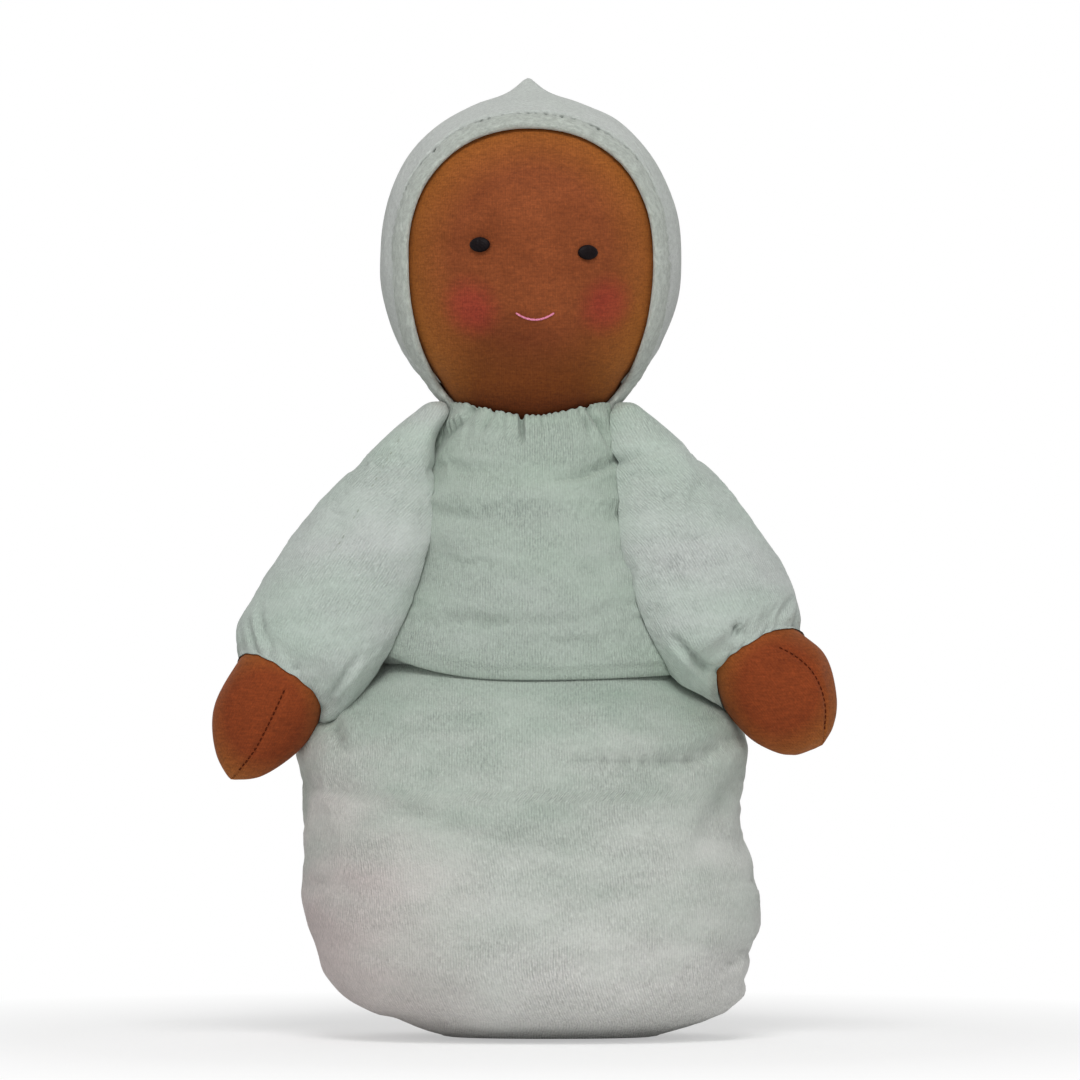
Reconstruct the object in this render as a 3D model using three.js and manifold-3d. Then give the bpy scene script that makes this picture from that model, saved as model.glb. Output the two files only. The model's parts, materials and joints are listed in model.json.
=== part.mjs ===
// A soft Waldorf doll in a hooded velour sleeping sack, made of its separate pieces.
// Millimetres, +Z up. The doll faces -Y and its left arm is at +X. The origin is the middle
// of the doll's outer box, at the level that it stands on.
import * as THREE from 'three';
import { mergeVertices } from 'three/addons/utils/BufferGeometryUtils.js';
import Module from 'manifold-3d';

const wasm = await Module();
wasm.setup();

// Cloth, thread and clearances
const CLOTH = 1.4; // velour or jersey with its seam allowance
const LINING = 0.8; // cotton gauze
const GAP = 0.35; // clearance between pieces that touch and stay put
const SLIDE_GAP = 0.8; // clearance where faceted round faces slide over each other
const THREAD_RADIUS = 0.5;
const OVERRUN = 5; // how far every cut runs past what it cuts

// Sack, the lower body: an upright pillow with round corners and a round top
const SACK_HALF_WIDTH = 81;
const SACK_HALF_DEPTH = 58;
const SACK_CORNER_HEIGHT = 48; // height over which the bottom corners round off
const SACK_WALL_HEIGHT = 37; // upright part, up to the axis of the waist
const SACK_BASE_LEAN = 8; // how far the filling has settled towards the doll's left below
const STANDING_CUT = 0.5; // depth of the flat patch under the sack
const STANDING_SIDE = 2.65; // origin to the doll's middle plane, as the arms reach unevenly

// Torso and its velour bodice, whose rolled lower edge laps over the sack
const BODICE_LAP = 15.5; // how far the bodice's lower edge lies below the sack's top
const BODICE_LENGTH = 100.5; // lower edge to the top of its taper, inside the neck
const BODICE_HALF_WIDTH = 61.5;
const BODICE_HALF_DEPTH = 42;

// Neck: a ball and socket of cloth round one centre
const NECK_CENTRE_RISE = 17; // top of the bodice's taper to the centre of the neck
const NECK_BALL_RADIUS = 34.4; // underside of the head
const NECK_CORE_RADIUS = 14;
const NECK_CORE_DEPTH = 22; // how far the tied-off wool reaches into the torso
const NECK_TIE_RADIUS = 15;
const NECK_THREAD_RISE = 5.5; // underside of the head to the thread of the gathered edge
const NECK_EDGE_FRONT_RISE = 10.8; // underside of the head to the edge under the chin
const NECK_EDGE_SIDE_RISE = 14.2;
const NECK_SCALLOP = 0.8;
const NECK_GATHER_COUNT = 14;

// Head
const HEAD_RISE = 31; // centre of the neck to the middle of the head
const HEAD_HALF_WIDTH = 50.4;
const HEAD_HALF_DEPTH = 48;
const HEAD_CROWN_RISE = 55; // middle of the head to its crown
const HEAD_CHIN_DROP = 52.5; // middle of the head to where its oval would close
const HEAD_OPENING_RADIUS = 9; // where the head's cloth is tied off below

// Hood
const HOOD_THICKNESS = 2.65;
const HOOD_TIP_RISE = 6; // crown to the end of the soft tip
const HOOD_TIP_FOOT_RADIUS = 20;
const HEM_THICKNESS = 3.65; // the doubled roll round the face
const HEM_WIDTH = 6.4;
const HEM_NECK_WIDTH = 2.5; // how much higher the hem's outer line closes than the opening's
const FACE_HALF_WIDTH = 42.4;
const FACE_TOP_RISE = 46.5;
const FACE_CHIN_DROP = 62;

// Face, placed from the middle of the head
const EYE_HALF_WIDTH = 3.5;
const EYE_HALF_HEIGHT = 2.5;
const EYE_HALF_DEPTH = 1.3;
const RIGHT_EYE_SIDE = 18.1;
const RIGHT_EYE_RISE = 5.5;
const LEFT_EYE_SIDE = 20.2;
const LEFT_EYE_RISE = 2.7;
const MOUTH_SIDE = 1.05; // how far the smile's middle lies to the doll's left
const MOUTH_HALF_WIDTH = 6.75;
const MOUTH_DROP = 21.1;
const MOUTH_SAG = 2.3;

// Arms: a teardrop sleeve from the neck to the cuff, and a mitten hand
const ARM_HALF_WIDTH = 25.3;
const ARM_HALF_DEPTH = 21.5;
const ARM_TOP_SETBACK = 1; // the sleeve starts this far below its stitches
const SHOULDER_DROP = 6; // top of the bodice's taper to the stitches
const SHOULDER_FORWARD = 11;
const SHOULDER_STITCH_RADIUS = 2;
const LEFT_CUFF_SIDE = 47.9; // stitches to the middle of the cuff's end
const LEFT_CUFF_DROP = 89;
const RIGHT_CUFF_SIDE = 56.7;
const RIGHT_CUFF_DROP = 97.4;
const CUFF_FORWARD = 6;
const CUFF_LENGTH = 8;
const CUFF_ROLL = 1.5; // gathered cloth round the room for the hand and the thread
const WRIST_BALL_RADIUS = 15.6;
const WRIST_SETBACK = 6; // wrist centre above the cuff's end
const HAND_HALF_WIDTH = 18.3;
const HAND_HALF_DEPTH = 15.8;
const HAND_MIDDLE = 19; // wrist centre to the widest part of the hand
const HAND_FRONT_LENGTH = 23; // widest part to the finger tip
const HAND_BACK_LENGTH = 25; // widest part back to where its oval would close
const HAND_OPENING_RADIUS = 5;
const LEFT_HAND_DEGREES = 53; // below level
const RIGHT_HAND_DEGREES = 62;

// Outlines, as shares of the sizes above
const TORSO_HEIGHT_SHARES = [0, 0.035, 0.13, 0.27, 0.42, 0.62, 0.8, 0.92, 1];
const TORSO_WIDTH_SHARES = [0.965, 1, 0.98, 0.89, 0.79, 0.69, 0.59, 0.535, 0.51];
const TORSO_DEPTH_SHARES = [0.955, 1, 1, 0.98, 0.92, 0.81, 0.71, 0.655, 0.63];
const ARM_LENGTH_SHARES = [0, 0.12, 0.25, 0.4, 0.55, 0.7, 0.82, 0.92, 1];
const ARM_WIDTH_SHARES = [0.13, 0.34, 0.55, 0.76, 0.92, 1, 0.98, 0.88]; // the cuff follows
const MOUTH_SPREAD_SHARES = [-1, -0.5, 0, 0.5, 1];
const TIP_HEIGHT_SHARES = [0, 0.12, 0.26, 0.45, 0.65, 0.84, 0.96, 1];
const TIP_RADIUS_SHARES = [1, 0.86, 0.68, 0.45, 0.27, 0.15, 0.07, 0];

// Exponents of the oval sections and outlines: 2 is an ellipse, more is squarer
const SACK_SECTION_EXPONENT = 2.3;
const SACK_CORNER_EXPONENT = 2.8;
const HEAD_EXPONENT = 2.2;
const HAND_EXPONENT = 1.8;
const ELLIPSE_EXPONENT = 2;

// Facets
const BODY_SIDES = 28;
const BODY_STEPS = 8;
const HEAD_STEPS = 11;
const SLEEVE_SIDES = 20;
const SLEEVE_STEPS = 9;
const INNER_SIDES = 14;
const INNER_STEPS = 6;
const SACK_BASE_STEPS = 6;
const SCALLOP_STEPS = 4;
const HEAD_SIDES = 24;
const HAND_SIDES = 16;
const HAND_STEPS = 8;
const CORE_SIDES = 12;
const BALL_STEPS = 12;
const RING_SIDES = 16;
const BEAD_SIDES = 12;
const BEAD_STEPS = 8;
const THREAD_SIDES = 5;
const QUARTER_TURN = Math.PI / 2;
const FULL_TURN = Math.PI * 2;

// Finishes
const VELOUR = { colour: 0xb6c4ba, roughness: 0.95 };
const BROWN_JERSEY = { colour: 0x96501f, roughness: 0.85 };
const WOOL = { colour: 0xefe7d6, roughness: 1 };
const GAUZE = { colour: 0xf3ead9, roughness: 1 };
const WHITE_THREAD = { colour: 0xeee9df, roughness: 0.6 };
const DARK_THREAD = { colour: 0x2a1a1c, roughness: 0.35 };
const PINK_THREAD = { colour: 0xd9628c, roughness: 0.5 };

// Heights above the base, each from the piece below it
const WAIST_HEIGHT = SACK_CORNER_HEIGHT + SACK_WALL_HEIGHT;
const BODICE_EDGE_HEIGHT = WAIST_HEIGHT + SACK_HALF_DEPTH - BODICE_LAP;
const BODICE_TOP_HEIGHT = BODICE_EDGE_HEIGHT + BODICE_LENGTH;
const NECK_HEIGHT = BODICE_TOP_HEIGHT + NECK_CENTRE_RISE;
const HEAD_HEIGHT = NECK_HEIGHT + HEAD_RISE;
const CROWN_HEIGHT = HEAD_HEIGHT + HEAD_CROWN_RISE + GAP + HOOD_THICKNESS;

const neckCentre = new THREE.Vector3(0, 0, NECK_HEIGHT);

// Height or half width of an oval at a share of its other half size
function oval(share, exponent) {
  const rest = 1 - Math.min(Math.abs(share), 1) ** exponent;
  return rest ** (1 / exponent);
}

// Sine or cosine drawn out so that equal steps follow a squarer oval
function squared(value, exponent) {
  return Math.sign(value) * Math.abs(value) ** (2 / exponent);
}

// A closed surface through rings of points, closed by a fan to a point at each end
function loft(start, rings, end) {
  const around = rings[0].length;
  const points = [start, ...rings.flat(), end];
  const last = points.length - 1;
  const faces = [];
  for (let i = 0; i < around; i += 1) {
    const next = (i + 1) % around;
    faces.push(0, 1 + next, 1 + i);
    for (let ring = 1; ring < rings.length; ring += 1) {
      const low = 1 + (ring - 1) * around;
      const high = low + around;
      faces.push(low + i, low + next, high + next, low + i, high + next, high + i);
    }
    faces.push(last, last - around + i, last - around + next);
  }
  const geometry = new THREE.BufferGeometry().setFromPoints(points);
  geometry.setIndex(faces);
  return geometry;
}

// A solid from a closed geometry, with its shared vertices merged
function solidOf(geometry) {
  const bare = geometry.clone();
  bare.deleteAttribute('normal');
  bare.deleteAttribute('uv');
  const merged = mergeVertices(bare);
  return new wasm.Manifold(
    new wasm.Mesh({
      numProp: 3,
      vertProperties: merged.getAttribute('position').array,
      triVerts: new Uint32Array(merged.getIndex().array),
    }),
  );
}

function cut(solid, ...cutters) {
  return cutters.reduce((rest, cutter) => rest.subtract(cutter), solid);
}

function placed(geometry, x, y, z) {
  return geometry.clone().translate(x, y, z);
}

// A ball that cuts a socket, with even the middles of its flats at the radius
function ballAt(centre, radius) {
  const flatness = Math.cos(FULL_TURN / 2 / SLEEVE_SIDES) * Math.cos(FULL_TURN / 4 / BALL_STEPS);
  const ball = new THREE.SphereGeometry(radius / flatness, SLEEVE_SIDES, BALL_STEPS);
  return solidOf(placed(ball, centre.x, centre.y, centre.z));
}

// A block that fills a half of space near the doll: everything on the far side of a plane
function blockBeyond(axis, level, direction) {
  const size = CROWN_HEIGHT + CROWN_HEIGHT;
  const centre = { x: 0, y: 0, z: 0 };
  centre[axis] = level + (direction * size) / 2;
  return solidOf(placed(new THREE.BoxGeometry(size, size, size), centre.x, centre.y, centre.z));
}

// A solid turned about Z from a profile of [radius, height] points
function turned(profile) {
  const points = profile.map(([radius, height]) => new THREE.Vector2(radius, height));
  return new THREE.LatheGeometry(points, RING_SIDES).rotateX(QUARTER_TURN);
}

// A ring of thread round Z
function threadRing(radius, height) {
  const ring = new THREE.TorusGeometry(radius, THREAD_RADIUS, THREAD_SIDES, RING_SIDES);
  return ring.translate(0, 0, height);
}

// Sack: an oval pillow below the waist axis, and above it a surface of revolution about
// that axis, so that the bodice slides over it as the body bends
function sackForm(offset, around, along) {
  const width = SACK_HALF_WIDTH + offset;
  const depth = SACK_HALF_DEPTH + offset;
  const corner = SACK_CORNER_HEIGHT + STANDING_CUT + offset;
  const rings = [];
  for (let i = 1; i <= SACK_BASE_STEPS; i += 1) {
    const angle = (QUARTER_TURN * i) / SACK_BASE_STEPS;
    const height = SACK_CORNER_HEIGHT - corner * squared(Math.cos(angle), SACK_CORNER_EXPONENT);
    const share = squared(Math.sin(angle), SACK_CORNER_EXPONENT);
    const lean = SACK_BASE_LEAN * (1 - height / SACK_CORNER_HEIGHT) ** 2;
    rings.push(sackRing(width * share, depth * share, lean, height, around));
  }
  for (let i = 0; i < along; i += 1) {
    rings.push(sackTopRing(width, depth, (QUARTER_TURN * i) / along, around));
  }
  const bottom = new THREE.Vector3(SACK_BASE_LEAN, 0, SACK_CORNER_HEIGHT - corner);
  const top = new THREE.Vector3(0, 0, WAIST_HEIGHT + depth);
  return loft(bottom, rings, top);
}

function sackRing(width, depth, lean, height, around) {
  const ring = [];
  for (let i = 0; i < around; i += 1) {
    const turn = (FULL_TURN * i) / around;
    const x = lean + width * squared(Math.cos(turn), SACK_SECTION_EXPONENT);
    const y = depth * squared(Math.sin(turn), SACK_SECTION_EXPONENT);
    ring.push(new THREE.Vector3(x, y, height));
  }
  return ring;
}

function sackTopRing(width, depth, angle, around) {
  const rise = depth * Math.sin(angle);
  const reach = width * oval(rise / depth, SACK_SECTION_EXPONENT);
  const ring = [];
  for (let i = 0; i < around; i += 1) {
    const turn = (FULL_TURN * i) / around;
    const x = reach * squared(Math.cos(turn), SACK_SECTION_EXPONENT);
    const radius = depth * oval(x / width, SACK_SECTION_EXPONENT);
    const y = Math.sign(Math.sin(turn)) * Math.sqrt(Math.max(radius ** 2 - rise ** 2, 0));
    ring.push(new THREE.Vector3(x, y, WAIST_HEIGHT + rise));
  }
  return ring;
}

// Places of a smooth curve through [along, across] pairs
function smoothCurve(alongs, acrosses, steps) {
  const points = alongs.map((along, i) => new THREE.Vector2(along, acrosses[i]));
  return new THREE.SplineCurve(points).getPoints(steps);
}

function torsoForm(offset, around, along) {
  const widths = smoothCurve(TORSO_HEIGHT_SHARES, TORSO_WIDTH_SHARES, along);
  const depths = smoothCurve(TORSO_HEIGHT_SHARES, TORSO_DEPTH_SHARES, along);
  const rings = widths.map((place, step) => {
    const height = BODICE_EDGE_HEIGHT + BODICE_LENGTH * place.x;
    const width = BODICE_HALF_WIDTH * place.y + offset;
    const depth = BODICE_HALF_DEPTH * depths[step].y + offset;
    return ellipseRing(width, depth, height, around);
  });
  const bottom = new THREE.Vector3(0, 0, rings[0][0].z);
  const top = new THREE.Vector3(0, 0, rings[rings.length - 1][0].z);
  return loft(bottom, rings, top);
}

function ellipseRing(width, depth, height, around) {
  const ring = [];
  for (let i = 0; i < around; i += 1) {
    const turn = (FULL_TURN * i) / around;
    ring.push(new THREE.Vector3(width * Math.cos(turn), depth * Math.sin(turn), height));
  }
  return ring;
}

// Half width and half depth of the head's oval at a height
function headOval(height, offset) {
  const above = height - HEAD_HEIGHT;
  const rise = (above > 0 ? HEAD_CROWN_RISE : HEAD_CHIN_DROP) + offset;
  const share = oval(above / rise, HEAD_EXPONENT);
  return { width: (HEAD_HALF_WIDTH + offset) * share, depth: (HEAD_HALF_DEPTH + offset) * share };
}

// Head: an oval above a ball round the neck's centre
function headForm(offset, around, along) {
  const ball = NECK_BALL_RADIUS + offset;
  const bottom = NECK_HEIGHT - ball;
  const crown = HEAD_HEIGHT + HEAD_CROWN_RISE + offset;
  const rings = [];
  for (let i = 1; i < along; i += 1) {
    const height = (bottom + crown) / 2 - ((crown - bottom) / 2) * Math.cos((Math.PI * i) / along);
    const below = NECK_HEIGHT - height;
    const neck = below > 0 ? Math.sqrt(ball ** 2 - below ** 2) : 0;
    const { width, depth } = headOval(height, offset);
    rings.push(roundedRing(neck, width, depth, height, around));
  }
  return loft(new THREE.Vector3(0, 0, bottom), rings, new THREE.Vector3(0, 0, crown));
}

// A ring that follows an ellipse or a circle, whichever is larger
function roundedRing(circle, width, depth, height, around) {
  const ring = [];
  for (let i = 0; i < around; i += 1) {
    const turn = (FULL_TURN * i) / around;
    const x = Math.cos(turn);
    const y = Math.sin(turn);
    const ellipse = width > 0 ? 1 / Math.hypot(x / width, y / depth) : 0;
    const radius = Math.max(circle, ellipse);
    ring.push(new THREE.Vector3(radius * x, radius * y, height));
  }
  return ring;
}

// Front of the head's skin at a place seen from the front
function facePoint(x, z, lift) {
  const { width, depth } = headOval(z, lift);
  return new THREE.Vector3(x, -depth * Math.sqrt(1 - (x / width) ** 2), z);
}

// A block in front of the head whose outline is the face opening, made wider by margin and
// lower by drop
function faceBlock(margin, drop) {
  const outline = new THREE.Shape();
  const around = BODY_SIDES + INNER_SIDES;
  const points = [];
  for (let i = 0; i < around; i += 1) {
    const turn = (FULL_TURN * i) / around;
    const side = Math.sin(turn);
    const x = (FACE_HALF_WIDTH + margin) * squared(Math.cos(turn), HEAD_EXPONENT);
    const reach = side > 0 ? FACE_TOP_RISE + margin : FACE_CHIN_DROP + drop;
    points.push(new THREE.Vector2(x, reach * squared(side, HEAD_EXPONENT)));
  }
  outline.setFromPoints(points);
  const depth = HEAD_HALF_DEPTH + HEM_THICKNESS + OVERRUN;
  const block = new THREE.ExtrudeGeometry(outline, { depth, bevelEnabled: false });
  return solidOf(placed(block.rotateX(QUARTER_TURN), 0, 0, HEAD_HEIGHT));
}

// A frame along the arm: its z runs from the shoulder stitches to the cuff
function armFrame(arm) {
  const shoulder = shoulderOf(arm);
  const reach = new THREE.Vector3(arm.sign * arm.cuffSide, -CUFF_FORWARD, -arm.cuffDrop);
  const cuff = shoulder.clone().add(reach);
  const along = cuff.clone().sub(shoulder);
  const length = along.length();
  along.normalize();
  const across = new THREE.Vector3(0, 1, 0).cross(along).normalize();
  const front = along.clone().cross(across);
  const place = new THREE.Matrix4().makeBasis(across, front, along).setPosition(shoulder);
  return { shoulder, cuff, along, length, place };
}

// The stitches lie against the side of the bodice
function shoulderOf(arm) {
  const height = BODICE_TOP_HEIGHT - SHOULDER_DROP;
  const share = 1 - SHOULDER_DROP / BODICE_LENGTH;
  const width = BODICE_HALF_WIDTH * shareAt(TORSO_HEIGHT_SHARES, TORSO_WIDTH_SHARES, share);
  const depth = BODICE_HALF_DEPTH * shareAt(TORSO_HEIGHT_SHARES, TORSO_DEPTH_SHARES, share);
  const side = width * Math.sqrt(1 - (SHOULDER_FORWARD / depth) ** 2);
  const span = side + GAP + SHOULDER_STITCH_RADIUS;
  return new THREE.Vector3(arm.sign * span, -SHOULDER_FORWARD, height);
}

// A straight-line reading of a table of shares
function shareAt(alongs, acrosses, share) {
  const next = alongs.findIndex((along) => along >= share);
  const part = (share - alongs[next - 1]) / (alongs[next] - alongs[next - 1]);
  return acrosses[next - 1] + part * (acrosses[next] - acrosses[next - 1]);
}

// Rings of the sleeve along the arm, down to the round roll of its end about the hand
function sleeveRings(length, offset, around, along) {
  const roll = cuffRoomAt(WRIST_SETBACK) + CUFF_ROLL;
  const widths = sleeveCurve(ARM_HALF_WIDTH, roll, along);
  const depths = sleeveCurve(ARM_HALF_DEPTH, roll, along);
  return widths.map((place, step) => {
    const width = Math.max(ARM_HALF_WIDTH * place.y + offset, THREAD_RADIUS);
    const depth = Math.max(ARM_HALF_DEPTH * depths[step].y + offset, THREAD_RADIUS);
    const height = ARM_TOP_SETBACK + (length - ARM_TOP_SETBACK) * place.x;
    return ellipseRing(width, depth, height, around);
  });
}

function sleeveCurve(widest, roll, along) {
  return smoothCurve(ARM_LENGTH_SHARES, [...ARM_WIDTH_SHARES, roll / widest], along);
}

// Loop of the thread that gathers the cuff, round the ball of the wrist
function cuffThreadLoop() {
  return WRIST_BALL_RADIUS + GAP + THREAD_RADIUS;
}

// Radius of the room for the wrist and the hand's back inside the cuff
function cuffRoomRadius() {
  return cuffThreadLoop() + THREAD_RADIUS + GAP;
}

function cuffRoomAt(place) {
  const ball = Math.sqrt(cuffRoomRadius() ** 2 - place ** 2);
  const back = oval((place - HAND_MIDDLE) / HAND_BACK_LENGTH, ELLIPSE_EXPONENT);
  return Math.max(ball, HAND_HALF_WIDTH * back + GAP);
}

function sleeveForm(frame, offset, around, along) {
  const rings = sleeveRings(frame.length, offset, around, along);
  const top = new THREE.Vector3(0, 0, rings[0][0].z);
  const end = new THREE.Vector3(0, 0, rings[rings.length - 1][0].z);
  return loft(top, rings, end).applyMatrix4(frame.place);
}

// Everything below a place along the arm
function blockBelowArm(frame, distance) {
  const block = new THREE.BoxGeometry(frame.length, frame.length, frame.length);
  block.translate(0, 0, distance + frame.length / 2);
  return solidOf(block.applyMatrix4(frame.place));
}

// Hand: a mitten on a ball round the wrist's centre
function handForm(frame, arm, offset, around, along) {
  const ball = WRIST_BALL_RADIUS + offset;
  const tip = HAND_MIDDLE + HAND_FRONT_LENGTH + offset;
  const rings = [];
  for (let i = 1; i < along; i += 1) {
    const place = (tip - ball) / 2 - ((tip + ball) / 2) * Math.cos((Math.PI * i) / along);
    const wrist = Math.abs(place) < ball ? Math.sqrt(ball ** 2 - place ** 2) : 0;
    const beyond = place - HAND_MIDDLE;
    const front = oval(beyond / (HAND_FRONT_LENGTH + offset), HAND_EXPONENT);
    const back = oval(beyond / (HAND_BACK_LENGTH + offset), ELLIPSE_EXPONENT);
    const share = place < 0 ? 0 : (beyond > 0 ? front : back);
    const width = (HAND_HALF_WIDTH + offset) * share;
    const depth = (HAND_HALF_DEPTH + offset) * share;
    rings.push(roundedRing(wrist, width, depth, place, around));
  }
  const mitten = loft(new THREE.Vector3(0, 0, -ball), rings, new THREE.Vector3(0, 0, tip));
  return mitten.applyMatrix4(handPlace(frame, arm));
}

function wristOf(frame) {
  return frame.cuff.clone().addScaledVector(frame.along, -WRIST_SETBACK);
}

function handPlace(frame, arm) {
  const below = THREE.MathUtils.degToRad(arm.handDegrees);
  const level = arm.sign * Math.cos(below);
  const along = new THREE.Vector3(level, frame.along.y, -Math.sin(below)).normalize();
  const across = new THREE.Vector3(0, 1, 0).cross(along).normalize();
  const front = along.clone().cross(across);
  return new THREE.Matrix4().makeBasis(across, front, along).setPosition(wristOf(frame));
}

function material(finish) {
  const { colour, roughness } = finish;
  return new THREE.MeshStandardMaterial({ color: colour, roughness, metalness: 0 });
}

// Adds a solid to its body's group as a named mesh, with its place taken from the group
function addPiece(body, name, solid, finish) {
  const { vertProperties, triVerts } = solid.getMesh();
  const geometry = new THREE.BufferGeometry();
  geometry.setAttribute('position', new THREE.BufferAttribute(vertProperties, 3));
  geometry.setIndex(new THREE.BufferAttribute(triVerts, 1));
  const pivot = body.getWorldPosition(new THREE.Vector3());
  geometry.translate(-pivot.x, -pivot.y, -pivot.z);
  geometry.computeVertexNormals();
  const mesh = new THREE.Mesh(geometry, material(finish));
  mesh.name = name;
  body.add(mesh);
}

// A body that moves about a pivot, inside the body that carries it
function addBody(parent, pivot) {
  const body = new THREE.Group();
  const origin = parent.getWorldPosition(new THREE.Vector3());
  body.position.copy(pivot).sub(origin);
  parent.add(body);
  parent.updateMatrixWorld(true);
  return body;
}

function addSack(body) {
  const outer = solidOf(sackForm(0, BODY_SIDES, BODY_STEPS));
  const inner = solidOf(sackForm(-CLOTH, INNER_SIDES, INNER_STEPS));
  const shell = cut(outer, inner, blockBeyond('z', 0, -1));
  addPiece(body, 'sack_front', cut(shell, blockBeyond('y', -GAP / 2, 1)), VELOUR);
  addPiece(body, 'sack_back', cut(shell, blockBeyond('y', GAP / 2, -1)), VELOUR);
  const wool = solidOf(sackForm(-CLOTH - GAP, INNER_SIDES, INNER_STEPS));
  addPiece(body, 'sack_wool', wool, WOOL);
}

function addTorso(body) {
  const sackTop = solidOf(sackForm(SLIDE_GAP, BODY_SIDES, BODY_STEPS));
  const socket = neckSocket(0);
  const outer = solidOf(torsoForm(0, BODY_SIDES, BODY_STEPS));
  const inner = solidOf(torsoForm(-CLOTH, INNER_SIDES, INNER_STEPS));
  const shell = cut(outer, inner, sackTop, socket);
  addPiece(body, 'bodice_front', cut(shell, blockBeyond('y', -GAP / 2, 1)), VELOUR);
  addPiece(body, 'bodice_back', cut(shell, blockBeyond('y', GAP / 2, -1)), VELOUR);
  const wool = solidOf(torsoForm(-CLOTH - GAP, INNER_SIDES, INNER_STEPS));
  const woolFoot = solidOf(sackForm(SLIDE_GAP + SLIDE_GAP + CLOTH, INNER_SIDES, INNER_STEPS));
  const well = solidOf(neckCoreForm(SLIDE_GAP));
  addPiece(body, 'torso_wool', cut(wool, woolFoot, socket, well), WOOL);
  const head = solidOf(headForm(GAP, HEAD_SIDES, HEAD_STEPS));
  addPiece(body, 'neck_edge', cut(solidOf(neckEdgeForm()), head), VELOUR);
  const thread = threadRing(neckThreadLoop(), neckThreadHeight());
  addPiece(body, 'neck_gather_thread', solidOf(thread), WHITE_THREAD);
}

// Radii round the neck's centre, from the head's underside outwards
function neckTieLevel() {
  return NECK_BALL_RADIUS + GAP + THREAD_RADIUS;
}

function neckRimRadius() {
  return (NECK_BALL_RADIUS + neckSocketRadius()) / 2;
}

function neckSocketRadius() {
  return NECK_BALL_RADIUS + GAP + HEM_THICKNESS + SLIDE_GAP;
}

// Room for the hooded head to turn in, wider by a margin
function neckSocket(margin) {
  const radius = neckSocketRadius() + margin;
  const head = headForm(radius - NECK_BALL_RADIUS, HEAD_SIDES, HEAD_STEPS);
  return ballAt(neckCentre, radius).add(solidOf(head));
}

function heightOnNeck(radius, fromAxis) {
  return NECK_HEIGHT - Math.sqrt(radius ** 2 - fromAxis ** 2);
}

// Neck core: a stub in the torso with a dished head, in which the neck's tie lies
function neckCoreForm(offset) {
  const dish = neckTieLevel() + THREAD_RADIUS + SLIDE_GAP - offset;
  const seat = neckSocketRadius() - GAP + offset;
  const stub = NECK_CORE_RADIUS + offset;
  const rim = neckThreadLoop() - THREAD_RADIUS - SLIDE_GAP + offset;
  const foot = heightOnNeck(seat, 0) - NECK_CORE_DEPTH - offset;
  const profile = [[0, foot], [stub, foot], [stub, heightOnNeck(seat, stub)]];
  profile.push([(stub + rim) / 2, heightOnNeck(seat, (stub + rim) / 2)]);
  profile.push([rim, heightOnNeck(seat, rim)]);
  for (let i = INNER_STEPS; i >= 0; i -= 1) {
    const fromAxis = (rim * i) / INNER_STEPS;
    profile.push([fromAxis, heightOnNeck(dish, fromAxis)]);
  }
  return turned(profile);
}

// Neck edge: the bodice's gathered top, with a scalloped edge that dips under the chin
function neckEdgeForm() {
  const inside = NECK_BALL_RADIUS + GAP;
  const outside = neckSocketRadius() - SLIDE_GAP;
  const foot = neckThreadHeight() + THREAD_RADIUS + GAP;
  const around = NECK_GATHER_COUNT * SCALLOP_STEPS;
  const rings = [[], [], [], []];
  for (let i = 0; i < around; i += 1) {
    const turn = (FULL_TURN * i) / around;
    const front = Math.max(-Math.sin(turn), 0);
    const dip = (NECK_EDGE_SIDE_RISE - NECK_EDGE_FRONT_RISE) * front;
    const scallop = (NECK_SCALLOP * (1 - Math.cos(NECK_GATHER_COUNT * turn))) / 2;
    const top = neckEdgeHeight() - dip - scallop;
    const section = [
      [inside + GAP, foot],
      [outside - scallop, foot],
      [outside - scallop, top],
      [inside, top],
    ];
    section.forEach(([radius, height], ring) => {
      const fromAxis = Math.sqrt(radius ** 2 - (NECK_HEIGHT - height) ** 2);
      rings[ring].push(new THREE.Vector3(fromAxis * Math.cos(turn), fromAxis * Math.sin(turn), height));
    });
  }
  return closedBand(rings);
}

// Top of the neck edge at the sides and back, where the hood's edge meets it
function neckEdgeHeight() {
  return NECK_HEIGHT - NECK_BALL_RADIUS + NECK_EDGE_SIDE_RISE;
}

// Loop of the thread that gathers the neck edge, midway between the head and the bodice
function neckThreadLoop() {
  return Math.sqrt(neckRimRadius() ** 2 - (NECK_BALL_RADIUS - NECK_THREAD_RISE) ** 2);
}

function neckThreadHeight() {
  return NECK_HEIGHT - NECK_BALL_RADIUS + NECK_THREAD_RISE;
}

// A closed ring-shaped band through rings of points that follow each other round its section
function closedBand(rings) {
  const around = rings[0].length;
  const count = rings.length;
  const faces = [];
  for (let ring = 0; ring < count; ring += 1) {
    const low = ring * around;
    const high = ((ring + 1) % count) * around;
    for (let i = 0; i < around; i += 1) {
      const next = (i + 1) % around;
      faces.push(low + i, low + next, high + next, low + i, high + next, high + i);
    }
  }
  const geometry = new THREE.BufferGeometry().setFromPoints(rings.flat());
  geometry.setIndex(faces);
  return geometry;
}

function addNeckCore(body) {
  addPiece(body, 'neck_core', solidOf(neckCoreForm(0)), GAUZE);
}

function addNeckTie(body) {
  const height = heightOnNeck(neckTieLevel(), NECK_TIE_RADIUS);
  addPiece(body, 'neck_tie', solidOf(threadRing(NECK_TIE_RADIUS, height)), WHITE_THREAD);
}

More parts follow.
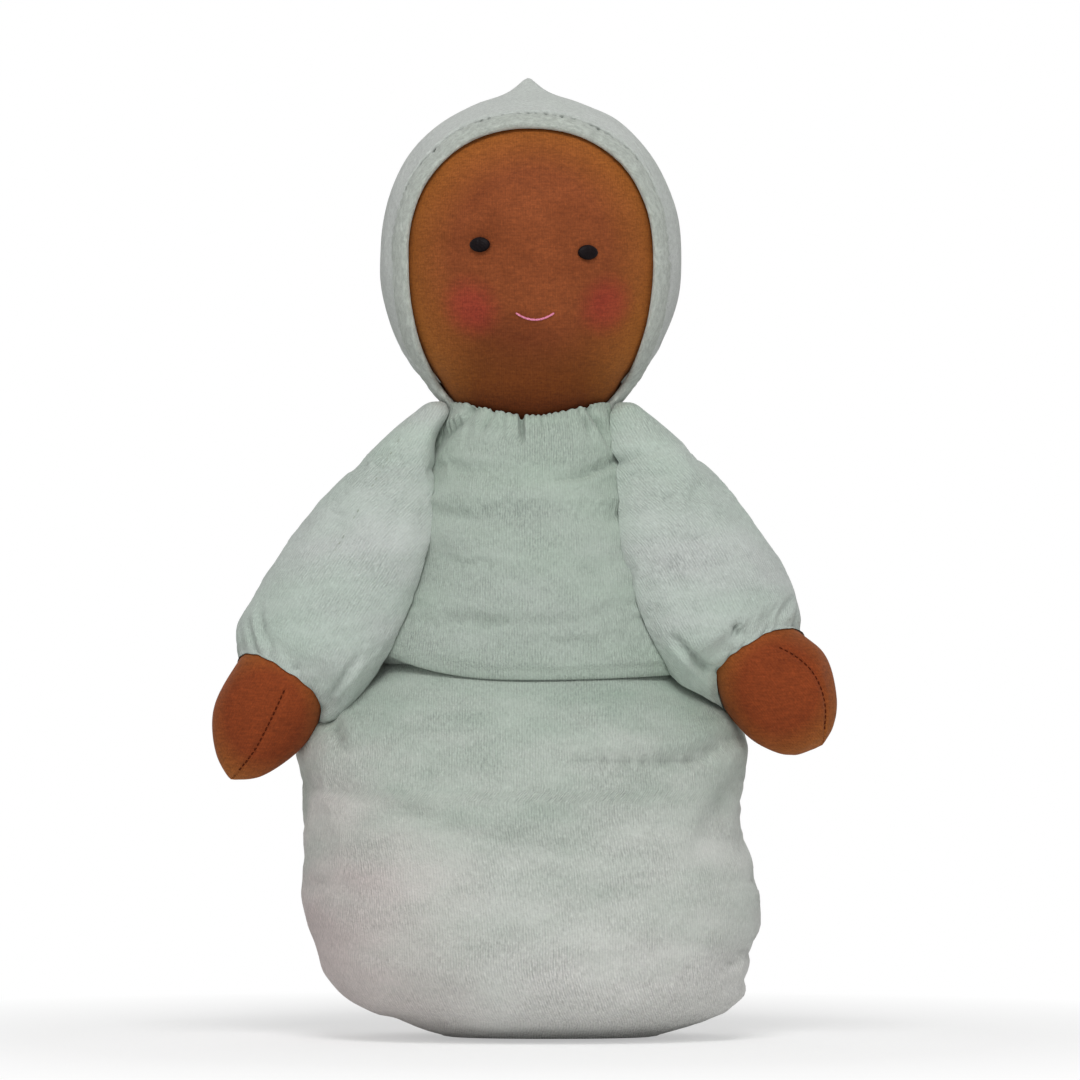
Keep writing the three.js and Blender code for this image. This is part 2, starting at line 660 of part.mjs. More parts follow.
// An opening under the head, where its cloth is tied off
function headOpening() {
  const low = NECK_HEIGHT - NECK_BALL_RADIUS - OVERRUN;
  const high = NECK_HEIGHT - NECK_BALL_RADIUS + CLOTH + LINING + OVERRUN;
  return solidOf(turned([[0, low], [HEAD_OPENING_RADIUS, low], [HEAD_OPENING_RADIUS, high], [0, high]]));
}

function addHead(body) {
  const opening = headOpening();
  const skin = cut(
    solidOf(headForm(0, HEAD_SIDES, HEAD_STEPS)),
    solidOf(headForm(-CLOTH, INNER_SIDES, INNER_STEPS)),
    opening,
  );
  addPiece(body, 'head_skin', skin, BROWN_JERSEY);
  const liningDepth = CLOTH + GAP;
  const lining = cut(
    solidOf(headForm(-liningDepth, INNER_SIDES, INNER_STEPS)),
    solidOf(headForm(-liningDepth - LINING, INNER_SIDES, INNER_STEPS)),
    opening,
  );
  addPiece(body, 'head_lining', lining, GAUZE);
  const wool = headForm(-liningDepth - LINING - GAP, INNER_SIDES, INNER_STEPS);
  addPiece(body, 'head_wool', solidOf(wool), WOOL);
  addFace(body);
  addHood(body);
}

function addFace(body) {
  const skin = solidOf(headForm(GAP, HEAD_SIDES, HEAD_STEPS));
  addEye(body, 'right_eye', -RIGHT_EYE_SIDE, RIGHT_EYE_RISE, skin);
  addEye(body, 'left_eye', LEFT_EYE_SIDE, LEFT_EYE_RISE, skin);
  const route = new THREE.CatmullRomCurve3(MOUTH_SPREAD_SHARES.map(mouthPoint));
  const section = new THREE.Shape().absarc(0, 0, THREAD_RADIUS, 0, FULL_TURN);
  const thread = new THREE.ExtrudeGeometry(section, {
    steps: INNER_STEPS,
    curveSegments: THREAD_SIDES,
    extrudePath: route,
  });
  addPiece(body, 'mouth_stitch', cut(solidOf(thread), skin), PINK_THREAD);
}

// A place on the smile, from -1 at the doll's right corner to 1 at its left
function mouthPoint(share) {
  const x = MOUTH_SIDE + MOUTH_HALF_WIDTH * share;
  return facePoint(x, HEAD_HEIGHT - MOUTH_DROP + MOUTH_SAG * share ** 2, GAP);
}

// A satin-stitched eye: a flat bead on the cheek's slope, hollowed to sit on the skin
function addEye(body, name, side, rise, skin) {
  const bead = new THREE.SphereGeometry(1, BEAD_SIDES, BEAD_STEPS);
  bead.scale(EYE_HALF_WIDTH, EYE_HALF_DEPTH, EYE_HALF_HEIGHT);
  const centre = facePoint(side, HEAD_HEIGHT + rise, GAP);
  const slope = Math.atan2(centre.x * HEAD_HALF_DEPTH, -centre.y * HEAD_HALF_WIDTH);
  bead.rotateZ(slope);
  bead.translate(centre.x, centre.y, centre.z);
  addPiece(body, name, cut(solidOf(bead), skin), DARK_THREAD);
}

// Outer shape of the hood or its hem, with the thickness that lies over the head
function hoodShell(thickness) {
  return solidOf(headForm(GAP + thickness, HEAD_SIDES, HEAD_STEPS));
}

function hoodTip() {
  const foot = HEAD_HEIGHT + headRiseAt(HOOD_TIP_FOOT_RADIUS);
  const rise = CROWN_HEIGHT + HOOD_TIP_RISE - foot;
  const profile = TIP_HEIGHT_SHARES.map((share, i) => [
    HOOD_TIP_FOOT_RADIUS * TIP_RADIUS_SHARES[i],
    foot + rise * share,
  ]);
  return solidOf(turned([[0, foot - OVERRUN], [HOOD_TIP_FOOT_RADIUS, foot - OVERRUN], ...profile]));
}

// Height above the head's middle at which the hood's crown is as narrow as a radius
function headRiseAt(radius) {
  const thickness = GAP + HOOD_THICKNESS;
  const share = oval(radius / (HEAD_HALF_WIDTH + thickness), HEAD_EXPONENT);
  return (HEAD_CROWN_RISE + thickness) * share;
}

function addHood(body) {
  const head = solidOf(headForm(GAP, HEAD_SIDES, HEAD_STEPS));
  const below = blockBeyond('z', neckEdgeHeight() + GAP, -1);
  const opening = faceBlock(0, 0);
  const hemLine = faceBlock(HEM_WIDTH, -HEM_NECK_WIDTH);
  const hoodLine = faceBlock(HEM_WIDTH + GAP, GAP - HEM_NECK_WIDTH);
  const hood = cut(hoodShell(HOOD_THICKNESS).add(hoodTip()), head, hoodLine, below);
  addPiece(body, 'hood', hood, VELOUR);
  const hem = cut(hoodShell(HEM_THICKNESS).intersect(hemLine), head, opening, below);
  addPiece(body, 'hood_hem', hem, VELOUR);
}

function addArm(torso, arm) {
  const frame = armFrame(arm);
  const shoulder = addBody(torso, frame.shoulder);
  const stitches = new THREE.SphereGeometry(SHOULDER_STITCH_RADIUS, BEAD_STEPS, BEAD_STEPS);
  stitches.translate(frame.shoulder.x, frame.shoulder.y, frame.shoulder.z);
  addPiece(shoulder, `${arm.side}_shoulder_stitches`, solidOf(stitches), WHITE_THREAD);
  const upper = addBody(shoulder, frame.shoulder);
  addSleeve(upper, arm, frame);
  const wrist = addBody(upper, wristOf(frame));
  addHand(wrist, arm, frame);
}

// What the arm makes room for: the torso, the sack's top and the neck
function bodyRoom(margin) {
  return [
    solidOf(torsoForm(GAP + margin, BODY_SIDES, BODY_STEPS)),
    solidOf(sackForm(SLIDE_GAP + margin, BODY_SIDES, BODY_STEPS)),
    neckSocket(margin),
  ];
}

// An arm's solid from its stitches to its cuff, clear of the body by a margin
function cutToArm(frame, solid, margin) {
  return cut(
    solid,
    ...bodyRoom(margin),
    ballAt(frame.shoulder, SHOULDER_STITCH_RADIUS + GAP + margin),
    ballAt(wristOf(frame), WRIST_BALL_RADIUS + SLIDE_GAP),
    blockBelowArm(frame, frame.length - CUFF_LENGTH),
  );
}

function addSleeve(body, arm, frame) {
  const outer = solidOf(sleeveForm(frame, 0, SLEEVE_SIDES, SLEEVE_STEPS));
  const inner = solidOf(sleeveForm(frame, -CLOTH, CORE_SIDES, INNER_STEPS));
  const room = inner.subtract(solidOf(torsoForm(GAP + CLOTH, BODY_SIDES, BODY_STEPS)));
  const sleeve = cutToArm(frame, outer, 0).subtract(room);
  addPiece(body, `${arm.side}_sleeve`, sleeve, VELOUR);
  const core = solidOf(sleeveForm(frame, -CLOTH - GAP, CORE_SIDES, INNER_STEPS));
  addPiece(body, `${arm.side}_arm_wool`, cutToArm(frame, core, CLOTH + GAP), WOOL);
  addCuff(body, arm, frame);
}

// Cuff: the gathered end of the sleeve, with its thread inside against the wrist
function addCuff(body, arm, frame) {
  const room = ballAt(wristOf(frame), cuffRoomRadius());
  const outer = solidOf(sleeveForm(frame, 0, SLEEVE_SIDES, SLEEVE_STEPS));
  const below = blockBelowArm(frame, frame.length - CUFF_LENGTH + GAP);
  const hand = solidOf(handForm(frame, arm, GAP, HAND_SIDES, HAND_STEPS));
  const cuff = cut(outer.intersect(below), room, hand, ...bodyRoom(0));
  addPiece(body, `${arm.side}_cuff`, cuff, VELOUR);
  const ring = threadRing(cuffThreadLoop(), frame.length - WRIST_SETBACK);
  addPiece(body, `${arm.side}_cuff_thread`, solidOf(ring.applyMatrix4(frame.place)), WHITE_THREAD);
}

function addHand(body, arm, frame) {
  const radius = HAND_OPENING_RADIUS;
  const hole = new THREE.CylinderGeometry(radius, radius, OVERRUN + OVERRUN, BEAD_STEPS);
  hole.rotateX(QUARTER_TURN).translate(0, 0, -WRIST_BALL_RADIUS);
  const opening = solidOf(hole.applyMatrix4(handPlace(frame, arm)));
  const outer = solidOf(handForm(frame, arm, 0, HAND_SIDES, HAND_STEPS));
  const inner = solidOf(handForm(frame, arm, -CLOTH, CORE_SIDES, INNER_STEPS));
  addPiece(body, `${arm.side}_hand_skin`, cut(outer, inner, opening), BROWN_JERSEY);
  const wool = handForm(frame, arm, -CLOTH - GAP, CORE_SIDES, INNER_STEPS);
  addPiece(body, `${arm.side}_hand_wool`, solidOf(wool), WOOL);
}

const ARMS = [
  {
    side: 'left',
    sign: 1,
    cuffSide: LEFT_CUFF_SIDE,
    cuffDrop: LEFT_CUFF_DROP,
    handDegrees: LEFT_HAND_DEGREES,
  },
  {
    side: 'right',
    sign: -1,
    cuffSide: RIGHT_CUFF_SIDE,
    cuffDrop: RIGHT_CUFF_DROP,
    handDegrees: RIGHT_HAND_DEGREES,
  },
];

const group = new THREE.Group();
const sack = addBody(group, new THREE.Vector3(0, 0, 0));
addSack(sack);
const torso = addBody(sack, new THREE.Vector3(0, 0, WAIST_HEIGHT));
addTorso(torso);
const neck = addBody(torso, neckCentre);
addNeckCore(neck);
const tie = addBody(neck, neckCentre);
addNeckTie(tie);
const head = addBody(tie, neckCentre);
addHead(head);
for (const arm of ARMS) {
  addArm(torso, arm);
}
group.position.x = STANDING_SIDE;

export default group;
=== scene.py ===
"""A soft hooded sack doll, dressed over its fixed frame: cloth forms, seams, stitches and finishes.

Lengths are millimetres in the row frame until a mesh is made, and metres after that. The doll faces -Y,
its left side is at +X, and "left" and "right" are the doll's own. Surfaces are grids of points: rows run
from one end of a form to the other, and columns run round it, starting at the doll's left side and going
round by its back.
"""

from __future__ import annotations

import json
import logging
import math
from dataclasses import dataclass
from enum import Enum
from typing import Sequence

import bpy
import numpy as np
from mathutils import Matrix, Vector

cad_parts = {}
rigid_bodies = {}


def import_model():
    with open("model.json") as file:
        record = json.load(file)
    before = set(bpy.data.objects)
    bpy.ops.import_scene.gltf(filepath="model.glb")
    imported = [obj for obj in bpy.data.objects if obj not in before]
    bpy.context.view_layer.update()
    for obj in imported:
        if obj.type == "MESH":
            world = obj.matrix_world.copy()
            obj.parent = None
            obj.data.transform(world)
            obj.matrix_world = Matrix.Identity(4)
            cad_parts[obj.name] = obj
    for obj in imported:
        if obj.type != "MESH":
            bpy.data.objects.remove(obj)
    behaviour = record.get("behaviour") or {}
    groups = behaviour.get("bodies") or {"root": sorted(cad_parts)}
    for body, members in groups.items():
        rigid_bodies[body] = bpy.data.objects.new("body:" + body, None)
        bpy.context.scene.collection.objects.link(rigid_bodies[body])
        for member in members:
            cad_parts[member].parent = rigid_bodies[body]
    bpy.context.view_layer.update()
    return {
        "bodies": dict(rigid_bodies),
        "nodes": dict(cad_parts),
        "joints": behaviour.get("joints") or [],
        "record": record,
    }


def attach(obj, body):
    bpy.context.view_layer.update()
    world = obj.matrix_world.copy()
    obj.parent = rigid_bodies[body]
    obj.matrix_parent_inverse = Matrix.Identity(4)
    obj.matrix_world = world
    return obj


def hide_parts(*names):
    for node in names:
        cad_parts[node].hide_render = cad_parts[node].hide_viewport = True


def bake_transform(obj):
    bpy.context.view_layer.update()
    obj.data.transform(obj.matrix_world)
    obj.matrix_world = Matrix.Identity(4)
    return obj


LOG = logging.getLogger("sack_doll")
Array = np.ndarray
Colour = tuple[float, float, float]
Values = dict[str | int, object]
Table = tuple[float, ...]
Line = tuple[tuple[float, float], ...]
Piece = bpy.types.Object
Material = bpy.types.Material
Socket = bpy.types.NodeSocket
MM = 0.001


class Side(Enum):
    """A side of the doll, as the doll itself would name it."""

    LEFT = "left"
    RIGHT = "right"

    @property
    def sign(self) -> float:
        """+1 at the doll's left (+X) and -1 at its right."""
        return 1.0 if self is Side.LEFT else -1.0


class Slot(Enum):
    """Material slots of the record."""

    VELOUR = "sage_velour"
    JERSEY = "brown_jersey"
    WHITE_THREAD = "white_thread"
    DARK_THREAD = "dark_thread"
    PINK_THREAD = "pink_thread"


# Arrays


def smooth_table(at: Array, places: Sequence[float], values: Sequence[float]) -> Array:
    """Read a short table smoothly: cubic Hermite pieces whose slopes come from the neighbouring entries.

    Args:
        at: Places to read at, held inside the table's ends.
        places: The table's rising places.
        values: The table's values there.

    Returns:
        The values at `at`.
    """
    x, y = np.asarray(places, float), np.asarray(values, float)
    held = np.clip(np.asarray(at, float), x[0], x[-1])
    slopes = np.gradient(y, x)
    low = np.clip(np.searchsorted(x, held) - 1, 0, len(x) - 2)
    step = x[low + 1] - x[low]
    t = (held - x[low]) / step
    rise = t * t * (3 - 2 * t)
    return (
        y[low] * (1 - rise)
        + y[low + 1] * rise
        + step * slopes[low] * t * (1 - t) ** 2
        - step * slopes[low + 1] * t * t * (1 - t)
    )


def ease(value: Array, start: float, end: float) -> Array:
    """Smooth step from 0 at `start` to 1 at `end`."""
    t = np.clip((value - start) / (end - start), 0, 1)
    return t * t * (3 - 2 * t)


def oval(share: Array, power: float) -> Array:
    """Half width of an oval at a share of its half height: (1 - |share|^power)^(1/power)."""
    return (1 - np.clip(np.abs(share), 0, 1) ** power) ** (1 / power)


def bell(distance: Array, width: float) -> Array:
    """Bell curve: exp(-(distance / width)^2)."""
    return np.exp(-((distance / width) ** 2))


def squared(value: Array, power: float) -> Array:
    """Sine or cosine drawn out so that equal steps follow a squarer oval: sign(v) |v|^(2/power)."""
    return np.sign(value) * np.abs(value) ** (2 / power)


def unit(vectors: Array) -> Array:
    """Vectors brought to length 1: v / |v|."""
    return vectors / np.linalg.norm(vectors, axis=-1, keepdims=True)


def together(*parts: Array | float) -> Array:
    """Arrays spread to one shape and stacked along a new last axis, such as x, y and z."""
    return np.stack(np.broadcast_arrays(*parts), axis=-1)


def running(steps: Array) -> Array:
    """Length run at each point of a line: 0, and then the sum of the steps so far."""
    return np.concatenate([[0.0], np.cumsum(steps)])


def seam_gap(columns: int) -> Array:
    """Columns between each column and the nearer side seam: the first or the middle column."""
    column = np.arange(columns)
    return np.minimum(np.minimum(column, columns - column), np.abs(column - columns // 2))


def turns(count: int) -> Array:
    """Angles of `count` columns, evenly round a full turn."""
    return np.arange(count) * (2 * math.pi / count)


def ripple(points: Array, length: float, seed: int) -> Array:
    """Soft unevenness of stuffing: the mean of eight sine waves of seeded directions and phases.

    Args:
        points: Grid of points.
        length: Typical length of a wave.
        seed: Seed of the directions and phases.

    Returns:
        A value from about -1 to 1 for each point.
    """
    rng = np.random.default_rng(seed)
    ways = unit(rng.normal(size=(8, 3)))
    pitch = length * rng.uniform(0.6, 1.6, 8)
    phase = rng.uniform(0, 2 * math.pi, 8)
    waves = np.sin(2 * math.pi * (points @ ways.T) / pitch + phase)
    return waves.mean(axis=-1) * 2


def grid_normals(points: Array) -> Array:
    """Unit normals of a grid that closes round its columns, pointing away from its rows' centres.

    The normal is the cross product of the central differences along the columns and the rows.

    Args:
        points: Grid of points.

    Returns:
        A unit normal for each point.
    """
    across = np.roll(points, -1, axis=1) - np.roll(points, 1, axis=1)
    along = np.gradient(points, axis=0)
    found = np.cross(across, along)
    found /= np.maximum(np.linalg.norm(found, axis=-1, keepdims=True), 1e-9)
    out = points - points.mean(axis=1, keepdims=True)
    return found * (1.0 if (found * out).sum() > 0 else -1.0)


@dataclass(frozen=True)
class Fold:
    """A crease pressed into cloth along a path seen from the front, with a soft lip on one side.

    The depth across the path is -depth exp(-(d/width)^2), and the lip rises beside it at 1.7 widths. Both
    fade towards the path's ends. Only cloth in front of its row's middle is moved, or only cloth behind it
    if `back` is set.
    """

    path: Line
    depth: float
    width: float
    lip: float = 0.0
    lip_side: float = 1.0
    back: bool = False

    def on(self, points: Array) -> Array:
        """Height of the fold at each point, along the cloth's normal.

        Args:
            points: Grid of points, with x from the doll's middle.

        Returns:
            The height at each point.
        """
        flat = points[..., [0, 2]]
        best = np.full(points.shape[:-1], 1e9)
        signed = np.zeros_like(best)
        where = np.zeros_like(best)
        corners = np.asarray(self.path, float)
        for i, (start, end) in enumerate(zip(corners[:-1], corners[1:])):
            way = end - start
            t = np.clip(((flat - start) @ way) / (way @ way), 0, 1)
            off = flat - (start + t[..., None] * way)
            apart = np.linalg.norm(off, axis=-1)
            nearer = apart < best
            best = np.where(nearer, apart, best)
            turn = way[0] * off[..., 1] - way[1] * off[..., 0]
            signed = np.where(nearer, np.copysign(apart, turn), signed)
            where = np.where(nearer, (i + t) / (len(corners) - 1), where)
        fade = np.sin(math.pi * np.clip(where * 0.86 + 0.07, 0, 1)) ** 0.7
        fade *= np.exp(-np.maximum(best - 6 * self.width, 0))
        middle = points[..., 1].mean(axis=1, keepdims=True)
        front = ease((middle - points[..., 1]) * (-1 if self.back else 1), -1.0, 6.0)
        groove = -self.depth * bell(best, self.width)
        beside = (signed * self.lip_side - 1.7 * self.width) / (1.2 * self.width)
        return (groove + self.lip * np.exp(-(beside**2))) * fade * front


def creases(folds: Sequence[Fold], points: Array) -> Array:
    """Height of several folds together, at points with x from the doll's middle."""
    return sum((fold.on(points) for fold in folds), np.zeros(points.shape[:2]))


# Meshes


def add_object(name: str, data: bpy.types.ID) -> Piece:
    """Make an object of a mesh, a lamp or a camera and link it to the scene.

    Args:
        name: Name of the new object.
        data: What it shows.

    Returns:
        The new object.
    """
    obj = bpy.data.objects.new(name, data)
    bpy.context.scene.collection.objects.link(obj)
    return obj


def grid_faces(rows: int, columns: int) -> tuple[Array, Array]:
    """Faces of a grid that closes round its columns and has a pole at each end.

    Args:
        rows: Number of rows.
        columns: Number of columns.

    Returns:
        Quads between the rows, and triangles from the first row to the start pole and from the last row
        to the end pole. The poles are numbered after the grid's points.
    """
    index = np.arange(rows * columns).reshape(rows, columns)
    right = np.roll(index, -1, axis=1)
    quads = together(index[:-1], right[:-1], right[1:], index[1:]).reshape(-1, 4)
    pole = rows * columns
    fans = [together(pole, right[0], index[0]), together(pole + 1, index[-1], right[-1])]
    return quads, np.concatenate(fans)


@dataclass
class Shell:
    """A closed form on a grid, with a pole at each end."""

    points: Array
    start: Array
    end: Array
    panels: bool = True

    def finer(self) -> Shell:
        """A grid with twice the rows and columns, through the same points.

        A new point lies at (9 (b + c) - (a + d)) / 16 of the four points a, b, c and d about it.

        Returns:
            The finer grid.
        """
        p = self.points
        a, c, d = np.roll(p, 1, axis=1), np.roll(p, -1, axis=1), np.roll(p, -2, axis=1)
        wide = np.stack([p, (9 * (p + c) - (a + d)) / 16], axis=2).reshape(len(p), -1, 3)
        q = np.concatenate([wide[:1] * 2 - wide[1:2], wide, wide[-1:] * 2 - wide[-2:-1]])
        between = (9 * (q[1:-2] + q[2:-1]) - (q[:-3] + q[3:])) / 16
        tall = np.empty((len(wide) * 2 - 1, wide.shape[1], 3))
        tall[0::2], tall[1::2] = wide, between
        return Shell(tall, self.start, self.end, self.panels)

    def cloth_lengths(self) -> tuple[Array, Array]:
        """Lengths across and along the cloth in millimetres, for its grain.

        Across is the running length round each row, counted from the front's middle on the front panel
        and from the back's middle on the back panel. Along is the mean running length of the columns.

        Returns:
            Lengths across, a point at a time, and along, a row at a time.
        """
        wrapped = np.concatenate([self.points, self.points[:, :1]], axis=1)
        steps = np.linalg.norm(np.diff(wrapped, axis=1), axis=-1)
        across = np.concatenate([np.zeros((len(steps), 1)), np.cumsum(steps, axis=1)], axis=1)
        rows = np.linalg.norm(np.diff(self.points, axis=0), axis=-1)
        return across, running(rows.mean(axis=1))

    def build(self, name: str) -> Piece:
        """Make the mesh: quads between the rows, fans at the poles, outward faces and a grain map.

        Args:
            name: Name of the new object.

        Returns:
            The new object, in metres, at the origin.
        """
        flat = np.concatenate([self.points.reshape(-1, 3), [self.start], [self.end]]) * MM
        quads, fans = grid_faces(*self.points.shape[:2])
        data = bpy.data.meshes.new(name)
        data.from_pydata(flat.tolist(), [], quads.tolist() + fans.tolist())
        self.add_grain(data)
        data.validate()
        obj = add_object(name, data)
        turn_outwards(data)
        data.shade_smooth()
        return obj

    def add_grain(self, data: bpy.types.Mesh) -> None:
        """Write the cloth's lengths as the UV map, a corner at a time, with a break at each side seam.

        Args:
            data: The mesh.
        """
        across, along = self.cloth_lengths()
        columns = self.points.shape[1]
        back = np.arange(columns) < columns // 2
        zero = np.where(back, across[:, [columns // 4]], across[:, [3 * columns // 4]])
        if not self.panels:
            zero = np.zeros_like(zero)
        left, right = across[:, :-1] - zero, across[:, 1:] - zero
        v = along[:, None]
        wide = together(left[:-1], right[:-1], right[1:], left[1:])
        quads = together(wide, together(v[:-1], v[:-1], v[1:], v[1:])).reshape(-1, 2)
        low = together(together(left[0], right[0], left[0]), along[0])
        high = together(together(left[-1], left[-1], right[-1]), along[-1])
        values = np.concatenate([quads, low.reshape(-1, 2), high.reshape(-1, 2)])
        layer = data.uv_layers.new(name="Grain")
        layer.data.foreach_set("uv", values.astype(np.float32).ravel())


def turn_outwards(data: bpy.types.Mesh) -> None:
    """Turn a closed mesh's faces round if they point inwards: its signed volume is then negative.

    Args:
        data: The mesh.
    """
    data.calc_loop_triangles()
    points = np.zeros(len(data.vertices) * 3, np.float32)
    data.vertices.foreach_get("co", points)
    corners = np.zeros(len(data.loop_triangles) * 3, np.int32)
    data.loop_triangles.foreach_get("vertices", corners)
    a, b, c = points.reshape(-1, 3)[corners.reshape(-1, 3)].astype(float).transpose(1, 0, 2)
    if (a * np.cross(b, c)).sum() < 0:
        data.flip_normals()


def capsules(
    centres: Array,
    ways: Array,
    ups: Array,
    size: tuple[float, float],
    name: str,
    grid: tuple[int, int] = (5, 6),
) -> Piece:
    """Make one mesh of short thread stitches: each is an oval bead laid along its way.

    A bead's points are centre + way (length/2) cos(a) + (across cos(b) + up sin(b)) radius sin(a), on a
    grid of a from 0 to half a turn and b round a full turn.

    Args:
        centres: Places of the stitches.
        ways: Unit directions along the stitches.
        ups: Unit directions out of the cloth.
        size: Length and radius of a stitch.
        name: Name of the new object.
        grid: Rings along a stitch and points round it.

    Returns:
        The new object.
    """
    length, radius = size
    tilt = np.linspace(0, math.pi, grid[0] + 2)[1:-1, None, None]
    around = turns(grid[1])[:, None]
    across = np.cross(ways, ups)[:, None, None]
    along = np.cos(tilt) * ways[:, None, None] * (length / 2)
    ring = np.cos(around) * across + np.sin(around) * ups[:, None, None]
    rings = centres[:, None, None] + along + ring * (np.sin(tilt) ** 0.6 * radius)
    ends = np.stack([centres + ways * length / 2, centres - ways * length / 2], axis=1)
    count, rows, columns = rings.shape[:3]
    each = rows * columns + 2
    flat = np.concatenate([rings.reshape(count, -1, 3), ends], axis=1).reshape(-1, 3) * MM
    quads, fans = grid_faces(rows, columns)
    shift = (np.arange(count) * each)[:, None, None]
    faces = (quads[None] + shift).reshape(-1, 4).tolist() + (fans[None] + shift).reshape(-1, 3).tolist()
    data = bpy.data.meshes.new(name)
    data.from_pydata(flat.tolist(), [], faces)
    obj = add_object(name, data)
    turn_outwards(data)
    data.shade_smooth()
    return obj


# Shader groups and finishes


def linear(red: float, green: float, blue: float) -> tuple[float, float, float, float]:
    """A colour written as 0 to 255 screen values, as the shader's linear values."""
    parts = [value / 255 for value in (red, green, blue)]
    lin = [v / 12.92 if v <= 0.04045 else ((v + 0.055) / 1.055) ** 2.4 for v in parts]
    return (lin[0], lin[1], lin[2], 1.0)


@dataclass(frozen=True)
class Nodes:
    """A small helper that adds and links shader nodes in one tree."""

    tree: bpy.types.NodeTree

    def add(self, kind: str, values: Values | None = None, **settings: object) -> bpy.types.Node:
        """Add a node, set its properties and give its sockets values or links.

        Args:
            kind: The node's type name.
            values: Input socket name or number to a value or to an output socket.
            **settings: Properties of the node.

        Returns:
            The new node.
        """
        node = self.tree.nodes.new(kind)
        for name, value in settings.items():
            setattr(node, name, value)
        self.feed(node, values or {})
        return node

    def feed(self, node: bpy.types.Node, values: Values) -> None:
        """Give a node's input sockets values or links.

        Args:
            node: The node.
            values: Input socket name or number to a value or to an output socket.
        """
        for name, value in values.items():
            if isinstance(value, Socket):
                self.tree.links.new(value, node.inputs[name])
            else:
                node.inputs[name].default_value = value

    def math(self, operation: str, a: object, b: object = 0.0, c: object = 0.0) -> Socket:
        """Add a Math node and return its output."""
        return self.add("ShaderNodeMath", {0: a, 1: b, 2: c}, operation=operation).outputs[0]

    def times(self, a: object, b: object) -> Socket:
        """Multiply two values."""
        return self.math("MULTIPLY", a, b)

    def noise(self, place: object, scale: float, detail: float = 2.0, rough: float = 0.5) -> Socket:
        """Add a Noise Texture and return its value."""
        values = {"Vector": place, "Scale": scale, "Detail": detail, "Roughness": rough}
        return self.add("ShaderNodeTexNoise", values).outputs["Fac"]

    def stretch(self, place: object, scale: Sequence[float], move: Sequence[float] = (0, 0, 0)) -> Socket:
        """Add a Mapping node that scales and moves a place, and return its vector."""
        values = {"Vector": place, "Scale": tuple(scale), "Location": tuple(move)}
        return self.add("ShaderNodeMapping", values).outputs[0]

    def ramp(
        self, value: object, low: float, high: float, to_low: float = 0.0, to_high: float = 1.0
    ) -> Socket:
        """Add a clamped Map Range node and return its value."""
        values = {"Value": value, "From Min": low, "From Max": high, "To Min": to_low, "To Max": to_high}
        return self.add("ShaderNodeMapRange", values).outputs[0]

    def blend(self, share: object, first: object, second: object, kind: str = "MIX") -> Socket:
        """Add a colour Mix node and return its colour."""
        node = self.add("ShaderNodeMix", {0: share, 6: first, 7: second}, data_type="RGBA", blend_type=kind)
        return node.outputs[2]

    def split(self, place: object) -> bpy.types.bpy_prop_collection:
        """Add a Separate XYZ node and return its three outputs."""
        return self.add("ShaderNodeSeparateXYZ", {0: place}).outputs

    def toned(self, tint: Socket, tone: Socket) -> Socket:
        """Multiply a colour by a tone."""
        grey = self.add("ShaderNodeCombineColor", {0: tone, 1: tone, 2: tone}).outputs[0]
        return self.blend(1.0, tint, grey, "MULTIPLY")

    def bump(self, height: Socket, strength: float, distance: float) -> Socket:
        """Add a Bump node and return its normal."""
        values = {"Height": height, "Strength": strength, "Distance": distance}
        return self.add("ShaderNodeBump", values).outputs[0]

    def seen(self) -> Socket:
        """1 for rays of the camera, of gloss and of glass, and 0 for others.

        Returns:
            The value.
        """
        path = self.add("ShaderNodeLightPath").outputs
        other = self.math("MAXIMUM", path["Is Glossy Ray"], path["Is Transmission Ray"])
        return self.math("MAXIMUM", path["Is Camera Ray"], other)


def new_group(
    name: str, inputs: Sequence[tuple[str, str, object]], outputs: Sequence[tuple[str, str]]
) -> Nodes:
    """Start a shader node group with named sockets.

    Args:
        name: The group's name.
        inputs: Socket name, socket type and default value.
        outputs: Socket name and socket type.

    Returns:
        A helper for the group's nodes.
    """
    tree = bpy.data.node_groups.new(name, "ShaderNodeTree")
    for label, kind, value in inputs:
        socket = tree.interface.new_socket(name=label, in_out="INPUT", socket_type=kind)
        if value is not None:
            socket.default_value = value
    for label, kind in outputs:
        tree.interface.new_socket(name=label, in_out="OUTPUT", socket_type=kind)
    return Nodes(tree)


FLOAT, VECTOR = "NodeSocketFloat", "NodeSocketVector"


